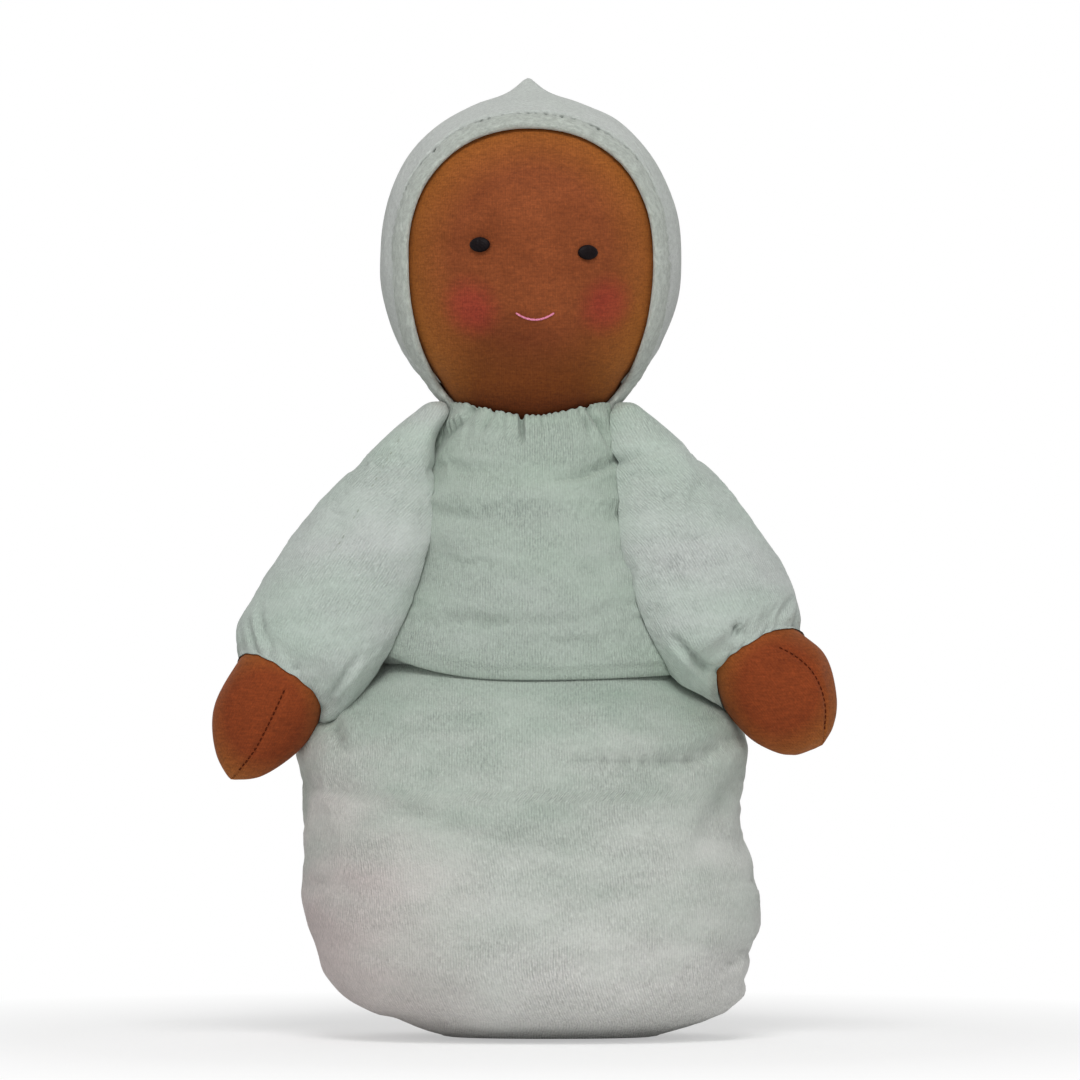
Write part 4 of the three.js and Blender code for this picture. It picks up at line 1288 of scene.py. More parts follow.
    def build(self) -> list[Piece]:
        """Build the sack.

        Returns:
            The new pieces.
        """
        plan = self.plan
        points = self.rings()
        start = np.array([points[0, :, 0].mean(), 0, 0.0])
        end = np.array([plan.middle, 0, plan.waist + plan.sack_half[1]])
        height = points[..., 2]
        held = np.clip(ease(height, 92, 116) + 1 - ease(height, 1, 12), 0, 1)
        held = np.maximum(held, np.where(seam_gap(self.columns) == 0, 1.0, 0.0)[None, :])
        points = Stuffing(3.0, 0.012, 1.4).swell(points, start, end, held)
        normal = grid_normals(points)
        free = ease(height, 1, 10)
        lift = creases(self.folds, points - [plan.middle, 0, 0]) + self.seam(points)
        lift += 0.55 * ripple(points * [0.6, 1, 1], 34, 5) * (1 - ease(height, 96, 118))
        lift += 0.25 * ripple(points * [0.35, 1, 1], 11, 6) * (1 - ease(height, 96, 112))
        points = points + normal * (lift * free)[..., None]
        points[..., 2] = np.maximum(points[..., 2], 0.0)
        cloth = Shell(points, start, end).finer().build("sack_cloth")
        dress(cloth, self.wardrobe.sack_velour)
        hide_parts("sack_front", "sack_back", "sack_wool")
        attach(cloth, "sack")
        return [cloth]


# Bodice


@dataclass
class Bodice:
    """The stuffed bodice, from its rolled lower edge to its gathered, scalloped neck edge."""

    plan: Plan
    wardrobe: Wardrobe
    columns: int = 320
    neck_front: float = 219.8
    neck_side: float = 224.7
    pleats: int = 22
    folds: tuple[Fold, ...] = (
        Fold(((-38, 187), (-22, 184.5), (-4, 185.5)), 1.5, 2.4, 0.6),
        Fold(((38, 188), (28, 184), (16, 184)), 1.3, 2.2, 0.5),
        Fold(((-36, 148), (-12, 146.5), (12, 147), (34, 150)), 1.2, 3.0, 0.6),
        Fold(((-42, 162), (-18, 165), (8, 163)), 0.9, 3.0, 0.5),
        Fold(((-34, 204), (-20, 201), (-8, 202.5)), 0.8, 2.2, 0.4),
        Fold(((34, 207), (28, 203.2), (18, 199.4), (8, 198)), 2.0, 1.7, 0.8),
        Fold(((-18, 224), (-25, 217.5), (-31, 213), (-36, 206)), 1.6, 1.5, 0.8, -1),
        Fold(((-3.2, 223), (-3.2, 217), (-2.8, 211)), 1.7, 0.9, 0.4),
        Fold(((-12, 224), (-14.5, 219), (-18, 213.5)), 1.3, 1.2, 0.6),
        Fold(((19, 224), (23.5, 217.5), (28, 209)), 2.2, 1.2, 0.8, -1),
        Fold(((16, 224), (18.5, 218.5), (20, 214)), 0.9, 0.8, 0.4),
        Fold(((40, 170), (24, 166), (10, 168)), 0.9, 2.8, 0.5),
        Fold(((30, 178), (0, 172), (-28, 176)), 0.8, 3.2, 0.4, back=True),
        Fold(((36, 154), (4, 150), (-34, 156)), 0.7, 3.0, 0.4, back=True),
    )

    def pleat(self, angle: Array) -> Array:
        """Depth share of the neck's gathers round the body, with uneven spacing from a seeded shake.

        Args:
            angle: Angles of the columns.

        Returns:
            A share from 0 to 1 for each column.
        """
        rng = np.random.default_rng(11)
        places = (np.arange(self.pleats) + rng.uniform(-0.36, 0.36, self.pleats)) * 2 * math.pi / self.pleats
        strength = rng.uniform(0.4, 1.0, self.pleats)
        strength *= 1 - bell(30 * np.cos(places) + 26, 5) * (np.sin(places) < 0)
        apart = np.abs((angle[:, None] - places[None, :] + math.pi) % (2 * math.pi) - math.pi)
        found = (strength * bell(apart, 0.052)).max(axis=1)
        return found * (1 - 0.5 * ease(-np.sin(angle), 0.3, 0.8))

    def neck_radius(self, z: Array, offset: float) -> Array:
        """Distance from the axis of a ball round the neck's centre, at a height."""
        ball = self.plan.neck_ball + offset
        return np.sqrt(np.maximum(ball**2 - (self.plan.neck - z) ** 2, 1.0))

    def rings(self) -> Array:
        """Rows from over the sack's top, round the rolled edge and up the outside to the neck.

        They go on over the scalloped neck edge and down inside it, round the neck's ball and its stub.
        The outside is an ellipse of the bodice's half width and half depth, drawn in by the gathers as it
        nears the neck, where it follows the smaller of that ellipse and a ball round the neck's centre.

        Returns:
            The bodice's grid.
        """
        plan = self.plan
        angle = turns(self.columns)
        cos, sin = np.cos(angle), np.sin(angle)
        pleat = self.pleat(angle)
        front = np.maximum(-sin, 0.0)
        top = self.neck_side - (self.neck_side - self.neck_front) * front**4
        top = top + 0.3 - 1.2 * pleat + 0.32 * np.sin(angle * 71 + 2 * np.sin(angle * 9))
        low = plan.bodice_low
        rows = []
        for share in np.linspace(0.12, 0.93, 9):
            x = plan.bodice_half[0] * 0.955 * share * cos
            y = plan.bodice_half[1] * 0.945 * share * sin
            rows.append(together(x, y, plan.sack_top(x + plan.middle, y, 1.0)))
        edge = self.edge_height(angle)
        roll = np.linspace(-0.5, 0.5, 7) * math.pi
        for turn in roll:
            grow = 0.955 + 0.045 * (1 + math.sin(turn)) / 2
            z = edge + 2.2 - 2.2 * math.cos(turn) + (0.0 if turn < 0 else 2.2 * math.sin(turn) * 0.4)
            rows.append(together(plan.bodice_half[0] * grow * cos, plan.bodice_half[1] * grow * sin, z))
        start = rows[-1][:, 2]
        climb = np.linspace(0, 1, 58)[1:]
        for share in climb:
            z = start + (top - 0.9 - start) * share
            wide, deep = plan.bodice_width(z), plan.bodice_depth(z)
            bulge = 1 + 0.008 * bell(z - edge - 3.2, 2.4)
            ball = self.neck_radius(top, 2.5)
            radius = 1 / np.hypot(cos / (wide * bulge), sin / (deep * bulge))
            near = ease(z, 209.0, 221.0)
            shell = radius * (1 - near) + np.minimum(radius, ball) * near
            gather = 1.9 * pleat * ease(z, 203.0, 219.0) ** 1.4
            puff = 0.7 * (1 - pleat) * ease(z, 206.0, 216.0) * (1 - ease(z, 219.0, 223.5))
            shell = shell - gather + puff
            rows.append(together(shell * cos, shell * sin, z))
        for lift, offset in ((0.0, 2.1), (0.1, 1.2), (-0.8, 0.65), (-2.2, 0.6)):
            z = top + lift
            radius = self.neck_radius(z, offset) - 0.55 * pleat * (1 if offset > 1 else 0)
            rows.append(together(radius * cos, radius * sin, z))
        inner = plan.neck_ball + 5.0
        for share in (1.0, 0.93, 0.84, 0.74, 0.62):
            radius = self.neck_radius(top - 3.4, 0.65).min() * share
            z = plan.neck - math.sqrt(inner**2 - radius**2) if share < 1 else top - 3.4
            radius = self.neck_radius(z, 0.65) if share == 1.0 else radius
            rows.append(together(radius * cos, radius * sin, z))
        for z in (196.0, 186.0, 182.5):
            rows.append(together(14.9 * cos, 14.9 * sin, z))
        return np.stack(rows) + [plan.middle, 0, 0]

    def edge_height(self, angle: Array) -> Array:
        """Height of the rolled lower edge: it sags a little at the front and rises to the doll's right."""
        cos = np.cos(angle)
        rise = 13.0 * np.clip(-cos, 0, 1) ** 2.6 + 2.2 * np.clip(cos, 0, 1) ** 2
        return self.plan.bodice_low - 0.2 + rise * ease(-np.sin(angle), -0.6, 0.1)

    def build(self) -> list[Piece]:
        """Build the bodice.

        Returns:
            The new pieces.
        """
        plan = self.plan
        points = self.rings()
        start = np.array([plan.middle, 0, plan.sack_top(np.array(plan.middle), np.array(0.0), 1.0)])
        end = np.array([plan.middle, 0, 182.5])
        row = np.arange(len(points))
        outside = ease(row, 16, 24) * (1 - ease(row, 73, 77))
        coarse = points[:, ::2]
        held = 1 - (outside * (1 - ease(row, 58, 66)))[:, None] * np.ones(coarse.shape[1])
        move = Stuffing(2.0, 0.014, 1.1).swell(coarse, start, end, held) - coarse
        between = (move + np.roll(move, -1, axis=1)) / 2
        points = points + np.stack([move, between], axis=2).reshape(points.shape)
        normal = grid_normals(points)
        lift = creases(self.folds, points - [plan.middle, 0, 0])
        lift += 0.6 * ripple(points * [0.5, 1, 1], 26, 9)
        lift -= bell(seam_gap(self.columns), 1.6)[None, :]
        points = points + normal * (lift * outside[:, None])[..., None]
        cloth = Shell(points, start, end).finer().build("bodice_cloth")
        dress(cloth, self.wardrobe.body_velour)
        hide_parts("bodice_front", "bodice_back", "torso_wool", "neck_edge")
        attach(cloth, "torso")
        return [cloth]


# Head, hood and hem


@dataclass
class Head:
    """The jersey head with its stitched face, the velour hood and the hood's rolled hem."""

    plan: Plan
    wardrobe: Wardrobe
    face_half: float = 42.0
    face_rise: float = 44.0
    face_drop: float = 62.0
    hem_wide: float = 5.4
    dent_pitch: float = 2.8
    hem_thick: float = 3.7
    hood_thick: float = 3.0
    hood_low: float = 225.3
    tip_rise: float = 6.4
    tip_reach: float = 5.2
    tip_side: float = -1.0
    eyes: tuple[tuple[float, float], ...] = ((-17.8, 279.8), (20.0, 277.1))
    mouth_middle: float = 1.5
    mouth_half: float = 6.6
    mouth_low: float = 253.5
    mouth_sag: float = 2.3

    def outline(self, turn: Array, margin: float) -> tuple[Array, Array]:
        """Face opening seen from the front: an oval of power 2.2, longer below than above.

        Args:
            turn: Angle round the opening, 0 at the doll's left and a quarter turn at the top.
            margin: How far outside the opening.

        Returns:
            Places across and up, from the head's middle.
        """
        side = np.sin(turn)
        x = (self.face_half + margin) * squared(np.cos(turn), 2.2)
        reach = np.where(side > 0, self.face_rise + margin, self.face_drop - 0.38 * margin)
        return x, reach * squared(side, 2.2)

    def skin(self) -> Piece:
        """Build the jersey head: rows of unit ways from its base to its crown, set on the head's shape.

        Returns:
            The head.
        """
        plan = self.plan
        tilt = np.linspace(0, math.pi, 66)[1:-1]
        points = plan.on_head(self.ways(math.pi - tilt[:, None], turns(120)), 0.0)
        low = np.array([plan.middle, 0, plan.neck - plan.neck_ball])
        high = np.array([plan.middle, 0, plan.head + plan.head_rise])
        normal = grid_normals(points)
        lift = 0.25 * ripple(points, 30, 3)
        eye_line = bell(points[..., 2] - 279, 6.0) * ease(-points[..., 1], 10, 30)
        lift -= 0.5 * eye_line
        for x, z in self.eyes:
            gap = np.hypot(points[..., 0] - plan.middle - x, points[..., 2] - z)
            lift -= 0.55 * bell(gap, 4.6) * ease(-points[..., 1], 0, 10)
        points = points + normal * np.minimum(lift, 0.12)[..., None]
        made = Shell(points, low, high).finer().build("head_jersey")
        dress(made, self.wardrobe.face_jersey)
        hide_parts("head_skin", "head_lining", "head_wool")
        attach(made, "head")
        return made

    def hood_edge(self, angle: Array) -> Array:
        """Tilt from straight up at which each meridian of the hood ends, at the hem or the neck.

        The hem's outer line and the neck's level line are sampled as ways, sorted by their angle about
        the head, and read between.

        Args:
            angle: Angles of the meridians about the head.

        Returns:
            A tilt for each meridian.
        """
        plan = self.plan
        turn = np.linspace(math.radians(-62), math.radians(242), 700)
        x, rise = self.outline(turn, self.hem_wide - 0.1)
        keep = rise + plan.head > self.hood_low
        points, _ = plan.face_point(x[keep], rise[keep] + plan.head, self.hood_thick - 1.0)
        about = turns(720)
        radius = math.sqrt((plan.neck_ball + self.hood_thick - 1.0) ** 2 - (plan.neck - self.hood_low) ** 2)
        neck = together(np.cos(about) * radius, np.sin(about) * radius, self.hood_low - plan.head)
        hem = points - [plan.middle, 0, plan.head]
        wrap = (angle + math.pi) % (2 * math.pi) - math.pi
        found = []
        for line in (neck, hem):
            line_about = np.arctan2(line[:, 1], line[:, 0])
            line_tilt = np.arctan2(np.hypot(line[:, 0], line[:, 1]), line[:, 2])
            order = np.argsort(line_about)
            found.append(np.interp(wrap, line_about[order], line_tilt[order]))
        inside = (wrap > line_about.min()) & (wrap < line_about.max())
        return np.where(inside, found[1], found[0])

    def hood(self) -> Piece:
        """Build the hood: meridians from its tip to its edge, outside and back inside.

        Outside, the surface stands the hood's thickness above the skin, curls in at its edge, and rises
        to the tip by rise exp(-(r/reach)^1.25) at a distance r from the tip. At the nape a thin flap
        reaches down into the neckline.

        Returns:
            The hood.
        """
        plan = self.plan
        angle = self.meridians()
        ends = self.hood_edge(angle)
        share = np.linspace(0, 1, 75)[1:] ** 1.12
        curl = ease(share, 0.94, 1.0)[:, None]
        offset = self.hood_thick * (1 - 0.7 * curl**1.4)
        outside = plan.on_head(self.ways(share[:, None] * ends, angle), offset)
        apart = np.hypot(outside[..., 0] - plan.middle - self.tip_side, outside[..., 1])
        rounded = np.sqrt(apart**2 + 0.9**2) - 0.9
        crown = ease(outside[..., 2], 300, 320)
        outside[..., 2] += self.tip_rise * np.exp(-((rounded / self.tip_reach) ** 1.25)) * crown
        normal = grid_normals(outside)
        ripples = 0.35 * ripple(outside, 30, 21) + 0.2 * ripple(outside * [1, 1, 0.6], 12, 22)
        puff = 0.5 * bell(share - 0.9, 0.03)[:, None]
        pull = puff - 1.7 * ease(share, 0.92, 0.975)[:, None] * self.dents(self.run_at(outside))
        outside = outside + normal * ((ripples * (1 - curl) * ease(apart, 8, 20)) + pull)[..., None]
        inside = plan.on_head(self.ways(np.linspace(1, 0, 9)[:-1, None] * (ends - 0.01), angle), 0.45)
        level = ease(outside[-1, :, 2], self.hood_low + 2.0, self.hood_low + 0.5)
        tuck = plan.on_head(self.ways((ends + 0.07 * level)[None], angle), 0.5)
        points = np.concatenate([outside, tuck, inside])
        top = plan.head + plan.head_rise
        start = np.array([plan.middle + self.tip_side, 0, top + self.hood_thick + self.tip_rise])
        made = Shell(points, start, np.array([plan.middle, 0, top + 0.45])).finer().build("hood_cloth")
        dress(made, self.wardrobe.hood_velour)
        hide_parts("hood")
        self.follow(made)
        return made

    def follow(self, obj: Piece) -> None:
        """Bake a hood piece's placing into its mesh."""
        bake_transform(obj)

    def meridians(self) -> Array:
        """Angles of the hood's columns, closer together beside the face, where its edge runs steeply."""
        even = turns(288)
        return even + 0.16 * np.sin(2 * even)

    @staticmethod
    def ways(tilt: Array, angle: Array) -> Array:
        """Unit ways at a tilt from straight up and an angle about the head."""
        return together(np.sin(tilt) * np.cos(angle), np.sin(tilt) * np.sin(angle), np.cos(tilt))

    def run_at(self, points: Array) -> Array:
        """Length along the face opening, from its low left end, for points seen from the front.

        Args:
            points: Grid of points.

        Returns:
            A length for each point.
        """
        x, rise = points[..., 0] - self.plan.middle, points[..., 2] - self.plan.head
        tall = np.where(rise > 0, self.face_rise, self.face_drop)
        turn = np.arctan2(squared(rise / tall, 2 / 1.1), squared(x / self.face_half, 2 / 1.1))
        turn = np.where(turn < -math.pi / 2, turn + 2 * math.pi, turn)
        return np.interp(turn, *self.run_table())

    def run_table(self) -> tuple[Array, Array]:
        """Angles round the face opening and the lengths along it up to them."""
        turn = np.linspace(math.radians(-62), math.radians(242), 500)
        x, rise = self.outline(turn, self.hem_wide)
        return turn, running(np.hypot(np.diff(x), np.diff(rise)))

    def dents(self, run: Array) -> Array:
        """Pull of the hem's hand stitches at lengths along the opening, as a share from 0 to 1.

        Each dent is exp(-(gap / 0.75 mm)^2) at a place that a seeded shake moves; they fade towards the
        neck, where the nap hides them.

        Args:
            run: Lengths along the opening.

        Returns:
            The pull at each of them.
        """
        rng = np.random.default_rng(17)
        reach = self.run_table()[1][-1]
        at = np.arange(2, reach, self.dent_pitch)
        at = at + rng.uniform(-1.2, 1.2, at.shape)
        strength = rng.uniform(0.1, 1.0, at.shape)
        near = np.clip(np.searchsorted(at, run), 1, len(at) - 1)
        pull = np.zeros_like(run)
        for step in (-1, 0):
            gap = run - at[near + step]
            pull = np.maximum(pull, strength[near + step] * bell(gap, 0.75))
        return pull * (0.3 + 0.7 * ease(-np.abs(run / reach - 0.5), -0.42, -0.2))

    def hem(self) -> list[Piece]:
        """Build the rolled hem and its stitches: an oval section swept round the face opening.

        A point is head + across (half width)(1 + cos b) + normal (half thickness)(1 + sin b), where the
        across way lies in the skin and points away from the face.

        Returns:
            The hem and its stitches.
        """
        plan = self.plan
        turn = np.linspace(math.radians(-59), math.radians(239), 300)
        x, rise = self.outline(turn, 0.0)
        wide_x, wide_rise = self.outline(turn, self.hem_wide)
        inner, normal = plan.face_point(x, rise + plan.head, 0.4)
        outer, _ = plan.face_point(wide_x, wide_rise + plan.head, 0.4)
        across = outer - inner
        width = np.linalg.norm(across, axis=-1, keepdims=True)
        across /= width
        dimple = self.dents(self.run_at(outer))
        along = running(np.linalg.norm(np.diff(inner, axis=0), axis=1))
        width = width + (0.35 * np.sin(along / 2.3 + 2 * np.sin(along / 5)) - 0.9 * dimple)[:, None]
        normal = unit(normal - (normal * across).sum(-1, keepdims=True) * across)
        soft = 1 + 0.06 * np.sin(along / 7.0) + 0.04 * np.sin(along / 3.1 + 1)
        around = turns(28)
        near, far = np.cos(around), np.sin(around)
        shape = np.maximum(squared(far, 2.4), -0.86)
        lift = (1 + shape) / 2 * self.hem_thick * soft[:, None]
        crown = ease(rise, -6, 24)[:, None]
        pinch = np.clip(near, 0, 1) ** 2 * (0.15 + 0.35 * crown + 1.3 * dimple[:, None])
        lift = np.maximum(lift - pinch * 1.9 * (far > -0.3), 0.05)
        points = (
            inner[:, None]
            + across[:, None] * ((1 + near) / 2 * width)[..., None]
            + normal[:, None] * lift[..., None]
        )
        roll = Shell(points, points[0].mean(axis=0), points[-1].mean(axis=0), panels=False)
        made = roll.finer().build("hood_hem_roll")
        dress(made, self.wardrobe.hem_velour)
        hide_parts("hood_hem")
        self.follow(made)
        run = unit(np.gradient(inner, axis=0))
        mid = dimple[1:-1]
        at = np.flatnonzero((mid > dimple[:-2]) & (mid >= dimple[2:]) & (mid > 0.5)) + 1
        seat = inner + across * (width - 0.1) + normal * 1.3
        way = unit(run[at] + across[at] * 0.4)
        stitches = capsules(seat[at], way, normal[at], (1.2, 0.3), "hood_hem_stitches")
        # The stitches sit in the dents and take the dark thread, which paints the dents' shade.
        dress(stitches, self.wardrobe.dent_shade_thread)
        self.follow(stitches)
        return [made, stitches]

    def eye(self, name: str, place: tuple[float, float]) -> Piece:
        """Build a satin-stitched eye: an oval bead of upright strands that sits in the skin.

        Args:
            name: The frame's node that it stands for.
            place: Place across from the doll's middle, and height.

        Returns:
            The eye.
        """
        plan = self.plan
        centre, normal = plan.face_point(np.array(place[0]), np.array(place[1]), 0.0)
        side = unit(np.cross(np.array([0.0, 0.0, 1.0]), normal))
        up = np.cross(normal, side)
        tilt = np.linspace(0, math.pi, 20)[1:-1]
        angle = turns(64)
        across = np.sin(tilt)[:, None] * np.cos(angle)
        high = np.sin(tilt)[:, None] * np.sin(angle)
        deep = np.cos(tilt)[:, None]
        strand = 1 + 0.05 * np.cos(across * 3.8 * 2 * math.pi / 0.66) - 0.16 * bell(across, 0.05)
        middle = centre + normal * 0.05
        points = (
            middle
            + side * (across * 3.8)[..., None]
            + up * (high * 2.65 * (1 - 0.08 * across**2))[..., None]
            + normal * (deep * 1.35 * strand)[..., None]
        )
        bead = Shell(points, middle + normal * 1.3, middle - normal * 1.3, panels=False)
        made = bead.build(f"{name}_satin")
        dress(made, self.wardrobe.dark_thread)
        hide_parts(name)
        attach(made, "head")
        return made

    def mouth(self) -> Piece:
        """Build the smile: back stitches along a shallow curve, height = low + sag share^2.

        Returns:
            The stitches.
        """
        share = np.linspace(-1, 1, 9)[:-1] + 0.125
        beyond = share + 0.07
        places = [self.mouth_middle + self.mouth_half * part for part in (share, beyond)]
        heights = [self.mouth_low + self.mouth_sag * part**2 for part in (share, beyond)]
        centre, normal = self.plan.face_point(places[0], heights[0], 0.12)
        ahead, _ = self.plan.face_point(places[1], heights[1], 0.12)
        made = capsules(centre, unit(ahead - centre), normal, (2.25, 0.38), "mouth_thread", (9, 12))
        dress(made, self.wardrobe.pink_thread)
        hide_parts("mouth_stitch")
        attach(made, "head")
        return made

    def build(self) -> list[Piece]:
        """Build the head's pieces and return them."""
        eyes = [self.eye(name, place) for name, place in zip(("right_eye", "left_eye"), self.eyes)]
        return [self.skin(), self.hood(), *self.hem(), *eyes, self.mouth()]


# Arms


@dataclass
class Arm:
    """A stuffed sleeve, gathered round a jersey mitten hand."""

    plan: Plan
    wardrobe: Wardrobe
    side: Side
    columns: int = 96
    hand_columns: int = 80
    tilt: float = 24.0
    seam_line: Line = ((-46.5, 212.0), (-69.6, 171.0))
    places: Table = (
        -0.03, 0.02, 0.08, 0.16, 0.25, 0.34, 0.43, 0.51, 0.59, 0.67, 0.74, 0.81, 0.88, 0.94, 0.98, 1,
    )
    outer: Table = (5, 6.6, 9.2, 12, 15.1, 18.3, 20.3, 22, 23.3, 24.1, 24.4, 24.5, 24.2, 22.6, 20.4, 18.4)
    inner_right: Table = (
        5, 3.5, 3.8, 8.5, 15.2, 21.5, 25, 27.2, 28.6, 29.2, 29.2, 28.6, 27.6, 26, 23.8, 20.5,
    )
    inner_left: Table = (7.5, 10, 13, 16.5, 21, 25, 28, 30, 31.6, 32.4, 32.5, 32, 30.6, 28, 25, 21)
    depth: Table = (5, 6.2, 8.2, 10.9, 13.6, 16.2, 18.4, 20, 21.1, 21.7, 21.9, 21.6, 20.8, 19.8, 18.9, 18.3)
    hand_places: Table = (-15.4, -12, -6, 0, 6, 11, 16, 21, 26, 31, 35, 38.5, 41, 42.4)
    hand_outer_left: Table = (2, 10, 14.4, 15.8, 17.6, 19, 19.8, 19.3, 17.7, 15, 12, 8.4, 4.8, 1.6)
    hand_inner_left: Table = (2, 10, 14.6, 16.7, 18.2, 19.4, 20.1, 20, 19.1, 17.2, 14.6, 11.4, 8, 3.4)
    hand_outer_right: Table = (2, 10, 14.6, 16.6, 17.4, 17.8, 17.9, 17.6, 16.4, 13.9, 10.8, 7.2, 3.6, 1.2)
    hand_inner_right: Table = (2, 10, 14.4, 15.8, 17.2, 17.8, 17.8, 16.8, 15.2, 12.9, 10.2, 7.2, 4, 1.4)

    def folds(self) -> tuple[Fold, ...]:
        """Creases of the sleeve's front, in places across from the doll's middle and heights.

        Returns:
            The creases.
        """
        if self.side is Side.RIGHT:
            return (
                Fold(((-95.5, 153), (-95, 147), (-94.5, 141)), 1.6, 1.3, 0.7, -1),
                Fold(((-60, 135.5), (-64.5, 129.5), (-70, 122), (-72.5, 116)), 1.7, 1.4, 1.0),
                Fold(((-100, 147), (-98, 140), (-96, 134)), 0.8, 1.5, 0.4),
                Fold(((-88, 140), (-84.5, 134), (-81, 128)), 0.6, 1.5, 0.3),
                Fold(((-63, 172), (-52, 160), (-48, 147)), 0.8, 3.0, 0.4),
                Fold(((-40, 196), (-46, 186), (-49, 174)), 0.7, 2.6, 0.4),
            )
        return (
            Fold(((72.3, 147.5), (72.5, 145), (72.6, 142.8)), 3.2, 1.1, 0.5),
            Fold(((50, 142), (54, 137.5), (59, 132.5), (66, 127.3)), 3.2, 1.5, 0.6, -1),
            Fold(((94.5, 158), (91, 153.5), (88, 149)), 1.1, 1.4, 0.6),
            Fold(((84, 153), (82, 149), (80.5, 145)), 0.6, 1.3, 0.3),
            Fold(((47, 178), (50, 164), (56, 152)), 0.8, 3.0, 0.4),
            Fold(((24, 205), (30, 204), (37, 206)), 2.4, 2.0, 0.7),
            Fold(((52, 200), (48, 190), (47, 178)), 0.7, 2.6, 0.4),
        )

    def rings(self) -> Array:
        """Rows along the sleeve, from the stitches at the neck to the turned-in end at the wrist.

        A row is an ellipse whose half width differs outwards and inwards, turned about the arm so that
        its inner side lies forward over the body. At the end the cloth turns in and back towards the
        wrist's ball.

        Returns:
            The sleeve's grid.
        """
        plan = self.plan
        out, front, along, length = plan.arm_frame(self.side)
        angle = turns(self.columns)
        share = np.linspace(-0.028, 1, 64)
        dome = np.sqrt(1 - np.clip((0.02 - share) / 0.05, 0, 1) ** 2)
        inside = self.inner_left if self.side is Side.LEFT else self.inner_right
        outer, inner, deep = (
            smooth_table(share, self.places, table) * dome for table in (self.outer, inside, self.depth)
        )
        outer = outer - 0.85 * self.side.sign * bell(share - 0.91, 0.07)
        lean = np.radians(self.tilt) * ease(share, 0.1, 0.5) * (1 - 0.7 * ease(share, 0.85, 1.0))
        cos, sin = np.cos(angle), np.sin(angle)
        across = np.where(cos > 0, outer[:, None], inner[:, None]) * cos
        forward = deep[:, None] * -sin
        turned_a = across * np.cos(lean)[:, None] + forward * np.sin(lean)[:, None]
        turned_f = -across * np.sin(lean)[:, None] + forward * np.cos(lean)[:, None]
        base = plan.shoulder(self.side) + along * (share * length)[:, None]
        body = base[:, None] + out * turned_a[..., None] + front * turned_f[..., None]
        body = body + along * (ease(share, 0.82, 1.0)[:, None] * self.slant(angle))[..., None]
        return np.concatenate([body, self.end_rows()])

    def end_rows(self) -> Array:
        """Rows of the turned-in end: round the slanting edge and back inside to close above the wrist.

        Returns:
            The end of the sleeve's grid.
        """
        out, front, along, length = self.plan.arm_frame(self.side)
        shoulder = self.plan.shoulder(self.side)
        angle = turns(self.columns)
        cos, sin = np.cos(angle), np.sin(angle)
        steps = ((0.9, 17.9), (0.9, 17.5), (-1.5, 17.2), (-5, 17.5), (-12, 16.4), (-20, 11), (-23, 5))
        share = (1.0, 1.0, 1.0, 1.0, 0.5, 0.0, 0.0)
        level = out * cos[:, None] - front * sin[:, None]
        slant = self.slant(angle)[:, None]
        rows = []
        for (at, radius), part in zip(steps, share):
            wide = radius + part * (0.1 * np.maximum(slant, 0) - 0.7 * np.maximum(cos, 0)[:, None])
            rows.append(shoulder + along * (length + at + part * slant) + level * wide)
        return np.stack(rows)

    def slant(self, angle: Array) -> Array:
        """How far the cuff's edge lies further along the arm.

        It is less in front and outside, and more behind and at the inner side, which hangs beside the hand.

        Args:
            angle: Angles of the columns.

        Returns:
            A length for each column.
        """
        hang = 7.0 if self.side is Side.LEFT else 4.5
        inner = np.maximum(-np.cos(angle), 0) * ease(np.sin(angle), -0.75, 0.1)
        side = np.sin(angle)
        front = 7.6 if self.side is Side.LEFT else 6.4
        return np.where(side > 0, 4.5, front) * side + hang * inner - 2.4 * np.maximum(np.cos(angle), 0)

    def gathers(self, count: int) -> Array:
        """Depth share of the cuff's gathers round the arm, unevenly spaced from a seeded shake.

        Args:
            count: Number of gathers.

        Returns:
            A share from 0 to 1 for each column.
        """
        rng = np.random.default_rng(31 + count)
        places = (np.arange(count) + rng.uniform(-0.3, 0.3, count)) * 2 * math.pi / count
        strength = rng.uniform(0.35, 1.0, count)
        apart = np.abs((turns(self.columns)[:, None] - places + math.pi) % (2 * math.pi) - math.pi)
        return (strength * bell(apart, 0.1)).max(axis=1)

    def sleeve(self) -> list[Piece]:
        """Build the sleeve.

        Returns:
            The sleeve, and for the right arm also its seam.
        """
        plan, name = self.plan, self.side.value
        points = self.rings()
        row = np.arange(len(points))
        end = points[-1].mean(axis=0)
        start = plan.shoulder(self.side) - plan.arm_frame(self.side)[2] * 3.4
        body = ease(row, 4, 14) * (1 - ease(row, 42, 60))
        held = np.repeat(1 - body[:, None], self.columns, axis=1)
        points = Stuffing(2.4, 0.009, 0.8).swell(points, start, end, held)
        normal = grid_normals(points)
        count = 15 if self.side is Side.LEFT else 14
        cuff = ease(row, 49, 62) ** 1.5 * (1 - ease(row, 64, 67))
        lift = -1.3 * self.gathers(count)[None, :] * cuff[:, None]
        folded = creases(self.folds(), points - [plan.middle, 0, 0])
        lift += folded * (1 - ease(row, 62, 64))[:, None]
        lift += (0.4 * ripple(points, 24, 41 + count) + 0.18 * ripple(points, 10, 43)) * body[:, None]
        points = points + normal * lift[..., None]
        points[:-7] = push_outside(points, plan, 0.45)[:-7]
        gap = np.where(row < 66, 0.5, 0.15)[:, None]
        hugging = ((row > 65) & (row < 68))[:, None]
        points = np.where((row > 50)[:, None, None], self.clear_of_hand(points, gap, hugging), points)
        made = Shell(points, start, end).finer().build(f"{name}_sleeve_cloth")
        dress(made, self.wardrobe.sleeve_velour)
        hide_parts(f"{name}_sleeve", f"{name}_cuff", f"{name}_arm_wool")
